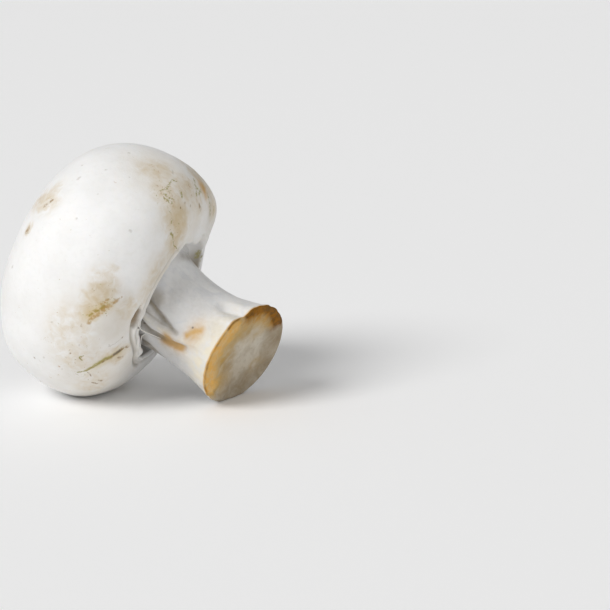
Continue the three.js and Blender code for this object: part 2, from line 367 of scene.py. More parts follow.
def distance_to_path(path, azimuth, out):
    """How far points of the flank are from a path, both measured on the skin in mm."""
    scale = np.radians(LIP_RADIUS + out)
    nearest = np.full(len(azimuth), np.inf)
    turn = turn_between(azimuth, path[0][0])
    for (start, start_out), (end, end_out) in zip(path[:-1], path[1:]):
        from_x = turn * scale
        run_x = turn_between(start, end) * scale
        turn = turn + turn_between(start, end)
        run_y = end_out - start_out
        share = (-from_x * run_x + (out - start_out) * run_y) / (run_x**2 + run_y**2)
        share = np.clip(share, 0, 1)
        distance = np.hypot(from_x + share * run_x, start_out + share * run_y - out)
        nearest = np.minimum(nearest, distance)
    return nearest


def out_from_lip(along, azimuth):
    return outline(np.minimum(along, LIP_START - 1e-4), azimuth)[0] - lip_radius(azimuth)


print("creases:", len(CREASES))

# %% Flutes of the stem: azimuth at the lip's height, its turn per mm downwards, depth, width, ends
FLUTES = [
    (328, -0.05, 1.2, 1.15, 4.5, -2),
    (310, 0, -0.8, 1.3, 3, -2),
    (168, 0.6, 0.5, 0.9, 19, 6),
    (128, -0.5, 0.6, 1.0, 19, 4),
    (92, 0.4, 0.45, 0.9, 19, 8),
    (47, -0.4, 0.5, 1.0, 19, 5),
    (12, 0.3, 0.3, 1.1, 16, 6),
]


def across_flute(flute, height, azimuth):
    """Signed distance from a flute's middle, in mm round the stem."""
    middle = flute[0] + flute[1] * (LIP_HEIGHT - height)
    return turn_between(middle, azimuth) * np.radians(stem_radius(height))


def flute_ends(flute, height):
    top, bottom = flute[4:]
    return smooth(height, bottom - 2, bottom + 2.5) * smooth(top + 3 - height, 0, 3)


def flute_relief(height, azimuth):
    relief = np.zeros(len(height))
    for flute in FLUTES:
        depth, width = flute[2:4]
        hollow = depth * bell(across_flute(flute, height, azimuth), width)
        relief -= hollow * flute_ends(flute, height)
    return relief


print("flutes:", len(FLUTES))

# %% Grooves and ridges of the stem that bend, each along a path of azimuth and height
UPPER_GROOVE = [(286, 19.5), (283.5, 17.3), (281, 16.1), (279, 14.8), (276.5, 13.4), (274.5, 11.8),
                (273.2, 10)]
LOWER_GROOVE = [(262, 19.5), (256, 17.2), (253.2, 15.8), (254, 14.4), (255, 12.8), (256.3, 11.3),
                (258.6, 9.2), (263, 6.9)]
MIDDLE_RIDGE = [(268, 19.5), (266.6, 16.9), (266.5, 15.4), (267.3, 13.8), (267.8, 11.7),
                (268.5, 9.7), (271, 7.5), (275, 5)]
LOWER_EDGE = [(255, 18.5), (248.9, 16.5), (249.6, 15.1), (251, 13.3), (252.7, 11.3), (254.5, 9.1)]
HOLLOW = [(222, 19), (223, 16), (214, 13.5)]
STEM_PATHS = [  # path, depth (a ridge is negative), width, flatness, heights where it fades
    (UPPER_GROOVE, 0.75, 0.62, 2, 8, 14),
    (LOWER_GROOVE, 0.8, 0.8, 4, 4, 9),
    (MIDDLE_RIDGE, -0.45, 0.65, 2, 3, 8),
    (LOWER_EDGE, -0.16, 0.2, 2, 8, 12),
    (HOLLOW, 0.6, 1.2, 2, 11, 16),
]


def distance_to_stem_path(path, height, azimuth):
    """How far points of the stem are from a path of azimuth and height, in mm."""
    nearest = np.full(len(azimuth), np.inf)
    scale = math.radians(NECK_RADIUS)
    for (start, start_up), (end, end_up) in zip(path[:-1], path[1:]):
        run_x = turn_between(start, end) * scale
        run_y = end_up - start_up
        x = turn_between(start, azimuth) * scale
        y = height - start_up
        share = np.clip((x * run_x + y * run_y) / (run_x**2 + run_y**2), 0, 1)
        nearest = np.minimum(nearest, np.hypot(x - share * run_x, y - share * run_y))
    return nearest


def path_relief(height, azimuth):
    relief = np.zeros(len(height))
    for path, depth, width, flat, low, high in STEM_PATHS:
        distance = distance_to_stem_path(path, height, azimuth)
        relief -= depth * bell(distance, width, flat) * smooth(height, low, high)
    return relief


print("grooves and ridges that bend:", len(STEM_PATHS))

# %% [markdown]
# ## Roughness that belongs to the surface
# Fine roughness is a sum of waves in random directions, drawn from a seeded generator, so it comes
# out the same each time. Stretched along the stem it makes fibres, and left even it makes the
# knife's rough cut and the bumps of the veil.

# %% A soft random field
def rough(points, size, seed, waves=24):
    """Swings round 0, mostly within 1.4, in lumps about as large as size, in the points' unit."""
    random = np.random.default_rng(seed)
    field = np.zeros(len(points))
    for _ in range(waves):
        direction = random.normal(size=3)
        direction *= random.uniform(0.7, 1.4) * np.pi / (size * np.linalg.norm(direction))
        field += np.sin(points @ direction + random.uniform(0, 2 * np.pi))
    return field / math.sqrt(waves)


def rough_layers(points, layers):
    """Several such fields in one, each a row of height in mm, size of its lumps and seed."""
    return sum(height * rough(points, size, seed) for height, size, seed in layers)


FIBRE_STRETCH = 0.1  # fibres are ten times as long as they are wide


def round_the_stem(height, azimuth):
    """Points on a cylinder that is squashed along the stem, so that a field drawn on it is long."""
    turn = np.radians(azimuth)
    return np.stack(
        [NECK_RADIUS * np.cos(turn), NECK_RADIUS * np.sin(turn), height * FIBRE_STRETCH], axis=1
    )


along_a_line = rough(np.linspace((0, 0, 0), (50, 0, 0), 500), 2, 11)
print("along a line it runs from", along_a_line.min().round(2), "to", along_a_line.max().round(2))

# %% The margin: the sharp edge that the torn veil left, the furrow beside it, and the creases
EDGE = {"height": 0.24, "width": 0.22, "under_veil": 0.08}
EDGE_OUT = ([200, 245, 265, 290, 330, 360], [0.5, 0.6, 1.0, 1.15, 1.35, 1.4])  # azimuth, mm out
EDGE_RAGGED = [(0.45, 1.3, 25)]
EDGE_WOBBLE = [(0.06, 2.6, 27), (0.03, 0.9, 28)]
TROUGH = {"depth": 0.07, "width": 0.4, "out": 0.55}


def edge_out(azimuth):
    """How far out from the lip the sharp edge runs."""
    return np.interp(np.asarray(azimuth) % 360, *EDGE_OUT)


def margin_relief(along, azimuth):
    out = out_from_lip(along, azimuth)
    torn = 1 - (1 - EDGE["under_veil"]) * veiled(azimuth)
    round_it = round_the_stem(np.zeros(len(azimuth)), azimuth)
    beyond = out - edge_out(azimuth) - rough_layers(round_it, EDGE_WOBBLE)
    edge = EDGE["height"] * bell(beyond, EDGE["width"]) * torn
    edge *= 1 + rough_layers(round_it, EDGE_RAGGED)
    edge -= TROUGH["depth"] * bell(beyond - TROUGH["out"], TROUGH["width"]) * torn
    folds = np.zeros(len(along))
    for path, depth, width, flat in CREASES:
        distance = distance_to_path(path, azimuth, out)
        folds += depth * bell(distance, width, flat)
    return np.where(along >= 1, edge - folds, 0)


print("the edge runs", min(EDGE_OUT[1]), "to", max(EDGE_OUT[1]), "mm out from the lip")

# %% Grain of the cap, bumps of the veil and pleats by the lip
CAP_GRAIN = [(0.05, 5.0, 21), (0.012, 1.1, 22)]
VEIL_BUMPS = [(0.26, 1.7, 23)]
VEIL_REACH = 2.6  # mm out from the lip
TORN_BUMPS = [(0.15, 1.2, 26)]
TORN = {"at": 222, "spread": 42, "reach": 0.9}
PLEATS = [(0.05, 0.8, 24)]
PLEAT_REACH = 2.2


def cap_grain(points, along, azimuth):
    out = out_from_lip(along, azimuth)
    veil = rough_layers(points, VEIL_BUMPS) * veiled(azimuth) * bell(out, VEIL_REACH)
    torn_here = bell(turn_between(TORN["at"], azimuth), TORN["spread"])
    torn_here *= bell(out - edge_out(azimuth), TORN["reach"])
    veil += rough_layers(points, TORN_BUMPS) * torn_here
    pleats = rough_layers(round_the_stem(-out, azimuth), PLEATS) * bell(out, PLEAT_REACH)
    return rough_layers(points, CAP_GRAIN) + np.where(along >= 1, veil + pleats, 0)


print("grain of the cap, mm high and mm wide:", [row[:2] for row in CAP_GRAIN])

# %% Fibres of the stem, and the marks that the knife left
FIBRES = [(0.035, 1.3, 11), (0.02, 0.5, 12)]
KNIFE_MARKS = [(0.16, 2.6, 31), (0.06, 0.9, 32)]  # hummocks and finer tatters
KNIFE_START = 0.12  # how far in from the rim they are full, as a share of the cut
RAISED_RIM = {"height": 0.3, "at": 0.03, "width": 0.035}
RIM_RAGGED = [(0.1, 1.1, 33)]


def fibre_relief(height, azimuth):
    return rough_layers(round_the_stem(height, azimuth), FIBRES)


def cut_relief(points, inward):
    """The knife tore the flesh a little, and left a rim that stands up."""
    face = rough_layers(points, KNIFE_MARKS) * smooth(inward, 0, KNIFE_START)
    return face + RAISED_RIM["height"] * bell(inward - RAISED_RIM["at"], RAISED_RIM["width"])


print("knife marks, mm high and mm wide:", [row[:2] for row in KNIFE_MARKS])

# %% The whole skin, upright
KNOBS = [  # azimuth, along, degrees wide, along long, height: torn lumps of the veil and a hollow
    (52, 2.35, 3.4, 0.5, 0.45),
    (349, 1.93, 5.0, 0.06, 0.3),
    (20, 1.96, 7.0, 0.08, 0.25),
    (8, 2.95, 11.0, 0.55, 1.15),
    (30, 2.8, 6.0, 0.4, 0.5),
    (350, 2.6, 6.0, 0.4, 0.4),
    (65, 2.0, 3.5, 0.12, 0.3),
    (60, 2.15, 18.0, 0.6, -0.6),
    (234, 2.1, 10.0, 0.4, 0.7),
    (218, 2.45, 10.0, 0.45, 1.1),
]
CAP_RELIEF_END = RECESS_START + 0.6  # where the cap's relief has faded out
FLUTES_START = RECESS_START + 0.5
FLUTES_END = 1.4  # how far past the rim's start the flutes fade out
RIM_TATTERS = {"at": 0.4, "width": 0.5}  # where on the rim's round they are, as shares of it


def skin(along, azimuth):
    """Points of the finished skin, upright, in millimetres. The crown's own point isn't moved."""
    points = plain_skin(along, azimuth)
    fade = 1 - smooth(along, LIP_START, CAP_RELIEF_END)
    to_lip = np.minimum(along, LIP_START)
    relief = broad_relief(to_lip, azimuth) + margin_relief(to_lip, azimuth)
    relief = (relief + cap_grain(points, to_lip, azimuth)) * fade
    for at, where, wide, long, height in KNOBS:
        relief += height * bell(turn_between(at, azimuth), wide) * bell(along - where, long)
    raised = points + outward(along, azimuth) * relief[:, None]

    share = np.clip(along, STEM_START, RIM_START)
    height = outline(np.minimum(share, RIM_START - 1e-6), azimuth)[1]
    fluted = np.where(
        along < RIM_START,
        smooth(along, FLUTES_START, STEM_START),
        np.clip(1 - (along - RIM_START) / FLUTES_END, 0, 1),
    )
    turn = np.radians(azimuth)
    sideways = np.stack([np.cos(turn), np.sin(turn), 0 * turn], axis=1)
    grooves = flute_relief(height, azimuth) + path_relief(height, azimuth)
    grooves += fibre_relief(height, azimuth)
    at_rim = bell(along - RIM_START - RIM_TATTERS["at"], RIM_TATTERS["width"])
    grooves += rough_layers(points, RIM_RAGGED) * at_rim
    raised += sideways * (fluted * grooves)[:, None]

    inward = along - CUT_START
    raised[:, 2] -= np.where(inward > 0, cut_relief(points, inward), 0)
    return np.where((along > 0)[:, None], raised, points)


print("lumps and hollows of the torn veil:", len(KNOBS))

# %% [markdown]
# ## From a spun profile to the skin
# The mesh itself is made as a turner would: one profile is spun through a full circle and merged
# where it meets itself. Each point of the profile carries its *along* in a float layer, and the
# spin copies that layer, so every point of the spun shape knows where on the skin it belongs. The
# formula then moves it there. The rings crowd towards the lip, where the detail is.

# %% Spin the profile
RINGS = {"dome": 62, "flank": 78, "lip": 8, "recess": 22, "stem": 56, "rim": 8, "cut": 22}
ROUND = 384  # points in each ring


def stations():
    """Every value of along that has a ring of points."""
    found = [0.0]
    for stretch, count in enumerate(RINGS.values()):
        found += [stretch + (ring + 1) / count for ring in range(count)]
    return np.array(found)


def spun_profile():
    """A bmesh of the profile spun round Z, with along in a float layer."""
    along = stations()
    radius, height, _ = outline(along, np.zeros(len(along)))
    spun = bmesh.new()
    layer = spun.verts.layers.float.new("along")
    corners = []
    for where, wide, high in zip(along, radius, height):
        corner = spun.verts.new((wide, 0, high))
        corner[layer] = where
        corners.append(corner)
    for first, second in zip(corners[:-1], corners[1:]):
        spun.edges.new((first, second))
    bmesh.ops.spin(
        spun,
        geom=spun.verts[:] + spun.edges[:],
        cent=(0, 0, 0),
        axis=(0, 0, 1),
        angle=2 * math.pi,
        steps=ROUND,
        use_merge=True,
    )
    bmesh.ops.remove_doubles(spun, verts=spun.verts, dist=1e-5)
    bmesh.ops.recalc_face_normals(spun, faces=spun.faces)
    return spun


spun = spun_profile()
mesh = bpy.data.meshes.new("mushroom_skin")
spun.to_mesh(mesh)
spun.free()
print("spun:", len(mesh.vertices), "points,", len(mesh.polygons), "faces")

# %% Read where each point belongs
count = len(mesh.vertices)
spun_at = np.zeros(count * 3)
mesh.vertices.foreach_get("co", spun_at)
spun_at = spun_at.reshape(-1, 3)
along = np.zeros(count)
mesh.attributes["along"].data.foreach_get("value", along)
azimuth = np.degrees(np.arctan2(spun_at[:, 1], spun_at[:, 0])) % 360
print("along runs from", along.min(), "to", along.max())

# %% [markdown]
# ## Laying it down
# A cut mushroom can't stand on its stem, so it rolls over until the widest part of the cap and the
# edge of the cut both touch the table. The skin is tipped by that angle, pressed flat by a
# little over half a millimetre where it touches, as soft flesh is, and centred like the solid.

# %% Tip, press and centre
LYING_TILT = 62.15
PRESSED_FLAT = 0.6

upright = skin(along, azimuth)
tipped = turned(upright, "Y", -LYING_TILT)
table = tipped[:, 2].min() + PRESSED_FLAT
middle = (tipped.min(axis=0) + tipped.max(axis=0)) / 2
CENTRE = np.array([middle[0], middle[1], table])


def laid(points):
    """Upright millimetres to the mushroom's place on the table, in metres."""
    placed = turned(points, "Y", -LYING_TILT) - CENTRE
    placed[:, 2] = np.maximum(placed[:, 2], 0)
    return placed * MM


placed = laid(upright)
mesh.vertices.foreach_set("co", placed.ravel())
mesh.polygons.foreach_set("use_smooth", np.ones(len(mesh.polygons), dtype=bool))
mesh.update()
mushroom = bpy.data.objects.new("mushroom_skin", mesh)
bpy.context.collection.objects.link(mushroom)
print("laid, mm:", ((placed.max(axis=0) - placed.min(axis=0)) / MM).round(2))

# %% [markdown]
# ## Where the stains lie
# A white mushroom is only white from afar. Handling bruises it tan, soil leaves olive flecks, and
# the cut edge turns ochre as it dries. Broad stains are painted as masks on the points of the skin,
# each a number from 0 to 1 in a named layer, and the materials mix their colours by them. Every
# stain is placed like the swells, by azimuth and polar angle, but its size is in millimetres, so a
# blot is as round near the crown as by the lip. A size runs from the middle of a stain to where it
# is about a third as strong.

# %% Distances along the skin, for blots
RULER_STEPS = 400
RULER_ALONG = np.linspace(0, LIP_START - 1e-6, RULER_STEPS)
RULER_RADIUS, RULER_HEIGHT, _ = outline(RULER_ALONG, np.full(RULER_STEPS, 270.0))
RULER = np.concatenate(
    [[0], np.cumsum(np.hypot(np.diff(RULER_RADIUS), np.diff(RULER_HEIGHT)))]
)
print("from the crown to the lip, mm:", RULER[-1].round(1))


def along_of_polar(polar):
    """The place on the skin that has a polar angle, the inverse of polar_angle."""
    below = 1 - (1 - np.clip(polar / 90 - 1, 0, 1)) ** (1 / LIP_CROWDING)
    return np.clip(polar / 90, 0, 1) + below


def blot(at, polar, wide, long, lean=0, edge=1.5):
    """A soft mark on the cap. Lean turns it from the azimuth towards the lip, in degrees."""
    where = float(along_of_polar(polar))
    radius = float(np.interp(where, RULER_ALONG, RULER_RADIUS))
    round_it = turn_between(at, azimuth) * math.radians(radius)
    down = np.interp(along, RULER_ALONG, RULER) - float(np.interp(where, RULER_ALONG, RULER))
    turn = math.radians(lean)
    first = (round_it * math.cos(turn) + down * math.sin(turn)) / wide
    second = (down * math.cos(turn) - round_it * math.sin(turn)) / long
    return bell(np.hypot(first, second), 1, 2 * edge) * (along < RECESS_START)


def blots(shape, rows):
    """The strongest of several marks, each a row of strength and the mark's own numbers."""
    return np.max([strength * shape(*row) for strength, *row in rows], axis=0)


# %% Tan stains of the cap: strength, azimuth, polar angle, mm round, mm down, lean
TAN_BLOTS = [
    (0.7, 271, 121, 3.8, 2.1, 45),
    (0.85, 278, 121, 4.0, 2.6, 20),
    (0.45, 285, 120, 2.6, 2.6, 0),
    (0.4, 292, 122.5, 0.9, 1.1, 0),
    (0.4, 276, 153, 2.6, 3.0, 0),
    (0.28, 256, 110, 6.0, 4.6, -20),
    (0.3, 242, 122, 3.2, 4.6, 0),
    (0.55, 241, 155, 1.6, 3.4, 20),
    (0.55, 243.5, 161, 1.5, 2.4, 0),
    (0.65, 305.5, 51, 2.4, 4.8, 0),
    (0.45, 311.5, 56.5, 2.0, 1.8, 0),
    (0.7, 288.8, 52, 1.4, 1.2, 0),
    (0.55, 345, 102, 3.8, 2.6, 20),
    (0.45, 336, 124, 3.0, 3.4, 0),
    (0.95, 333, 149, 3.2, 4.4, 10),
    (0.8, 325, 163, 2.0, 3.0, 0),
    (0.5, 352, 130, 4.0, 3.0, 0),
    (0.6, 16, 126, 4.2, 5.5, 10),
    (0.3, 357, 146, 3.0, 3.6, 0),
    (0.65, 237, 159, 1.6, 1.6, 0),
    (0.55, 27, 153, 3.2, 3.0, 0),
    (0.3, 300, 166, 7.0, 2.4, 0),
    (0.3, 222, 136, 5.0, 3.0, 0),
    (0.35, 98, 66, 3.4, 2.4, 20),
    (0.3, 150, 96, 4.0, 3.0, -15),
    (0.4, 178, 138, 3.0, 4.0, 0),
    (0.35, 70, 140, 3.0, 3.4, 0),
]
masks = {"tan": blots(blot, TAN_BLOTS)}
print("tan blots:", len(TAN_BLOTS))

# %% A warm tinge round the stains, and where soil left flecks, in the same numbers
WARM_BLOTS = [
    (0.8, 347, 145, 9.0, 9.0, 0),
    (0.55, 6, 145, 5.0, 5.0, 0),
    (0.8, 346, 112, 8.0, 8.0, 0),
    (0.6, 310, 168, 9.0, 4.0, 0),
    (0.35, 262, 112, 9.0, 6.0, 0),
    (0.6, 215, 140, 14.0, 9.0, 0),
    (0.4, 245, 128, 9.0, 8.0, 0),
    (0.7, 30, 150, 10.0, 9.0, 0),
    (0.35, 150, 120, 16.0, 12.0, 0),
    (0.3, 90, 70, 14.0, 10.0, 0),
    (0.6, 266, 144, 6.5, 5.0, 0),
    (0.9, 238.5, 146, 1.8, 5.0, 0),
]
FLECK_BLOTS = [
    (0.95, 272, 126, 3.8, 1.7, 45),
    (0.5, 270, 120, 3.6, 2.2, 45),
    (0.35, 283, 120, 3.0, 2.4, 0),
    (0.3, 245, 112, 7.0, 5.5, 0),
    (0.35, 232, 118, 4.0, 5.5, 0),
    (0.8, 336, 123, 2.6, 3.2, 0),
    (0.5, 328, 152, 2.0, 3.0, 0),
    (0.7, 356, 137, 2.4, 2.6, 0),
    (0.6, 14, 128, 1.6, 4.0, 0),
    (0.4, 343, 103, 3.0, 2.6, 0),
    (0.5, 304.5, 59, 1.7, 1.2, 0),
    (0.7, 243.5, 160, 0.8, 1.8, 0),
    (0.4, 140, 110, 9.0, 6.0, 0),
    (0.4, 60, 120, 6.0, 5.0, 0),
]
masks["warm"] = blots(blot, WARM_BLOTS)
masks["fleck"] = blots(blot, FLECK_BLOTS)
print("warm blots:", len(WARM_BLOTS), "and flecked blots:", len(FLECK_BLOTS))

# %% [markdown]
# Creases and hollows are darker than the open skin: partly a brown of their own, and partly
# painted shade, because light alone darkens hollows this small only a little, and grey. The painted
# shade follows the same paths as the relief, so the two can't come apart.

# %% Painted shade in the creases, under the veil and in the furrow by the lip's edge
CREASE_SHADE = {"per_mm": 1.3, "most": 0.8}
FURROW_SHADE = {"dark": 0.34, "width": 0.48}
MARGIN_SHADE = {"dark": 0.16, "out": 2.5, "width": 2.0, "at": 312, "spread": 26}
VEIL_SHADE = {"from": 30, "to": 75, "near": 0.15, "reach": 0.7}  # degrees, strength, along


def creased():
    """Painted shade in the creases of the margin, darker where they are deeper."""
    out = out_from_lip(along, azimuth)
    deepest = np.zeros(len(along))
    for path, depth, width, flat in CREASES:
        distance = distance_to_path(path, azimuth, out)
        deepest = np.maximum(deepest, depth * bell(distance, width, flat))
    dark = np.minimum(CREASE_SHADE["per_mm"] * deepest, CREASE_SHADE["most"])
    return dark * (along > 1) * (along < LIP_START + 0.5)


def veil_shade():
    """Painted brown-grey shade in the hollow where the veil meets the neck, deepest away from the
    near side.
    """
    beyond = smooth(turn_between(0, azimuth), VEIL_SHADE["from"], VEIL_SHADE["to"])
    reached = along + VEIL_SHADE["reach"] * beyond
    inwards = smooth(reached, LIP_START + 0.3, RECESS_START + 0.7)
    dark = blend(VEIL_SHADE["near"], 1, beyond)
    return veiled(azimuth) * inwards * dark * (1 - smooth(along, STEM_START, STEM_START + 0.05))


def furrow():
    """Painted shade: a faint dark line in the furrow beside the lip's edge, and a broad soft shade
    of the margin near it.
    """
    beyond = out_from_lip(along, azimuth) - edge_out(azimuth)
    line = FURROW_SHADE["dark"] * bell(beyond - TROUGH["out"], FURROW_SHADE["width"])
    broad = MARGIN_SHADE["dark"] * bell(beyond - MARGIN_SHADE["out"], MARGIN_SHADE["width"])
    broad *= bell(turn_between(MARGIN_SHADE["at"], azimuth), MARGIN_SHADE["spread"])
    return np.maximum(line, broad) * on_flank * (1 - veiled(azimuth))


on_flank = (along > 1) & (along < LIP_START)
masks["shade"] = np.maximum.reduce([veil_shade(), creased(), furrow()])
print("points in shade:", int((masks["shade"] > 0.5).sum()))

# %% The brown pocket between the lip's edge and the outer crease, partly its own brown and partly painted shade of the hollow, and a few faint painted shadows
POCKET_PATH = CREASES[1][0]
POCKET_WIDTH = 0.95
POCKET_ENDS = (256, 265)  # the azimuths where its lower end fades in
SHADOW_BLOTS = [
    (0.14, 15, 117, 3.0, 5.0, 0),
    (0.18, 21, 150, 1.6, 5.0, 0),
    (0.14, 265, 147, 4.5, 3.5, 0),
    (0.12, 281, 136, 2.6, 5.0, 0),
    (0.1, 252, 160, 3.0, 3.0, 0),
    (0.1, 250, 46, 5.0, 7.0, 0),
]
off_path = distance_to_path(POCKET_PATH, azimuth, out_from_lip(along, azimuth))
in_pocket = bell(off_path, POCKET_WIDTH, 4) * on_flank
masks["pocket"] = in_pocket * smooth(azimuth, *POCKET_ENDS)
masks["shade"] = np.maximum(masks["shade"], blots(blot, SHADOW_BLOTS))
print("points in the pocket:", int((masks["pocket"] > 0.5).sum()))

# %% [markdown]
# The stem is stained in other ways. The grooves go ochre towards the cut, and painted grey-brown
# shade darkens them, the hollow by the lip and the neck under the veil. The ridges between them
# are creamy, and fibres darken in thin streaks. Stripes follow the paths of the grooves, and
# single marks are placed by azimuth and height.

# %% Marks and stripes on the stem
height = outline(np.clip(along, STEM_START, RIM_START - 1e-6), azimuth)[1]
on_stem = smooth(along, STEM_START - 0.2, STEM_START) * (along < CUT_START)


def stem_mark(at, where, wide, long, edge=1.0):
    """A soft mark on the stem: azimuth, height, mm round and mm along."""
    round_it = turn_between(at, azimuth) * np.radians(stem_radius(height))
    return bell(np.hypot(round_it / wide, (height - where) / long), 1, 2 * edge) * on_stem


def stripe(path, width, low, high, flat=2, fade=1.5):
    """A stripe along a path of the stem, between two heights, with soft ends."""
    distance = distance_to_stem_path(path, height, azimuth)
    ends = smooth(height, low - fade, low + fade) * (1 - smooth(height, high - fade, high + fade))
    return bell(distance, width, flat) * ends * on_stem


print("points on the stem:", int(on_stem.sum()))

# %% Painted shade on the stem: strength, azimuth, height, mm round, mm along
STEM_SHADES = [
    (0.22, 245, 9.5, 2.2, 5.0),
    (0.16, 310, 9.5, 4.0, 4.0),
    (0.8, 291, 17.3, 1.7, 1.9),
    (0.6, 284, 17.2, 1.0, 1.6),
    (0.5, 277, 17.3, 1.0, 1.8),
    (0.42, 274, 15.0, 0.9, 3.0),
    (0.6, 0, 19.3, 2.4, 0.8),
    (0.7, 12, 18.9, 2.4, 1.1),
    (0.8, 24, 18.3, 2.6, 1.3),
    (0.14, 267, 10.7, 3.5, 3.5),
    (0.12, 264, 7.6, 2.5, 2.5),
    (0.2, 303, 3.2, 4.0, 2.8),
    (0.1, 282, 3.5, 4.0, 2.8),
    (0.22, 305, 15.0, 4.0, 2.4),
    (1.0, 222, 16.4, 2.2, 1.7),
    (0.85, 211, 15.2, 1.8, 1.8),
    (0.35, 240, 16.8, 1.2, 1.4),
]
STREAKS = {"at": 276, "spread": 8, "size": 0.42, "seed": 13}
HIDDEN_FLOOR_SHADE = {"at": 195, "spread": 50}
streaks = rough(round_the_stem(height, azimuth), STREAKS["size"], STREAKS["seed"])
streaks = smooth(streaks, 0.2, 1.2) * bell(turn_between(STREAKS["at"], azimuth), STREAKS["spread"])
# painted shade on the floor of the recess, centred on its lower side
hidden_floor_shade = smooth(along, LIP_START + 0.6, RECESS_START + 0.3) * (along < STEM_START + 0.02)
hidden_floor_shade *= bell(turn_between(HIDDEN_FLOOR_SHADE["at"], azimuth), HIDDEN_FLOOR_SHADE["spread"])
# The stem's part of the shade mask: painted shade in the grooves, on the floor of the recess, in
# the hollow under the lip and at the neck, partly their own grey-brown, and the fibre streaks,
# which are the stem's own colour.
masks["shade"] = np.maximum.reduce(
    [
        masks["shade"],
        stripe(UPPER_GROOVE, 0.7, 12.5, 20),
        0.8 * stripe(UPPER_GROOVE, 0.46, 9.8, 20),
        0.8 * streaks * smooth(height, 9, 14) * on_stem,
        0.55 * stripe(UPPER_GROOVE, 0.5, 7.5, 13),
        0.75 * stripe(LOWER_GROOVE, 0.8, 11.8, 20, 4),
        0.3 * stripe(LOWER_GROOVE, 0.7, 8.4, 13, 3),
        0.75 * hidden_floor_shade,
        blots(stem_mark, STEM_SHADES),
    ]
)
print("shades of the stem:", len(STEM_SHADES))

# %% Cream near the cut and on the ridge, and painted shade on the lower side
masks["cream"] = np.maximum(
    (1 - smooth(height, 1.5, 8.5)) * bell(turn_between(268, azimuth), 62) * on_stem,
    0.5 * stripe(MIDDLE_RIDGE, 0.6, 3, 20),
)
# painted shade: the lower side of the stem is darkened in colour
masks["dull"] = bell(turn_between(228, azimuth), 60) * on_stem
print("strongest cream:", masks["cream"].max().round(2))

# %% [markdown]
# The cut face dries from its rim inwards. The rim turns ochre, and a dark brown where it dried
# longest, with a thin scorched line on its edge. The middle stays beige with brown patches of its
# own, and broad brown on its far and lower side is painted shade.

# %% Bands along the rim and round marks on the cut
RIM_LINE = {"at": 0.4, "width": 0.35}  # shares of the rim's round
inward = np.clip(along - CUT_START, 0, 1)
on_cut = (along >= RIM_START).astype(float)
face_radius = stem_radius(0) * (1 - inward)
face_x = face_radius * np.cos(np.radians(azimuth))
face_y = face_radius * np.sin(np.radians(azimuth))


def cut_mark(at, where, size):
    """A soft round mark on the cut: azimuth, share of the way inwards, size in mm."""
    middle = stem_radius(0) * (1 - where)
    x = middle * math.cos(math.radians(at))
    y = middle * math.sin(math.radians(at))
    return bell(np.hypot(face_x - x, face_y - y), size) * on_cut


def rim_band(start, end, fade, width, edge=1.0):
    """A band along the rim from one azimuth to another, fading inwards over a width in mm."""
    middle = start + (end - start) / 2
    away = np.abs(turn_between(middle, azimuth)) - (end - start) / 2
    across = bell(inward * stem_radius(0), width, 2 * edge)
    return (1 - smooth(away, -fade, fade)) * across * on_cut


def rim_edge(start, end, fade):
    """A line along the outer half of the rounded rim."""
    from_line = along - RIM_START - RIM_LINE["at"]
    return rim_band(start, end, fade, 1.0) * bell(from_line, RIM_LINE["width"])


print("points on the cut:", int(on_cut.sum()))

# %% Tan and brown patches of the cut: strength, azimuth, share of the way inwards, size in mm
CUT_TANS = [
    (0.95, 310, 0.40, 2.6),
    (0.9, 295, 0.43, 2.2),
    (0.8, 281, 0.45, 1.8),
    (0.9, 266, 0.38, 2.0),
    (0.6, 214, 0.48, 2.0),
    (0.6, 222, 0.30, 2.2),
    (0.6, 350, 0.33, 2.6),
    (0.6, 6, 0.27, 2.6),
    (0.3, 120, 0.45, 2.0),
]
# The broad browns from azimuth 42 to 183 are painted shade on the far and lower side of the cut;
# the small ones are its own brown.
CUT_BROWNS_AND_SHADE = [
    (0.75, 155, 0.25, 4.4),
    (0.75, 183, 0.18, 4.0),
    (0.7, 112, 0.15, 3.6),
    (0.75, 72, 0.12, 3.2),
    (0.7, 42, 0.25, 2.6),
    (0.95, 259, 0.43, 1.2),
    (0.7, 236, 0.52, 2.2),
    (0.5, 275, 0.6, 1.8),
    (0.55, 210, 0.3, 2.2),
    (0.45, 335, 0.42, 1.4),
]
cut_wash = 0.9 * rim_band(205, 396, 14, 6.4, 1.5)
masks["tan"] = np.maximum.reduce([masks["tan"], blots(cut_mark, CUT_TANS), cut_wash])
masks["brown"] = blots(cut_mark, CUT_BROWNS_AND_SHADE)
print("tan patches:", len(CUT_TANS), "and brown patches:", len(CUT_BROWNS_AND_SHADE))

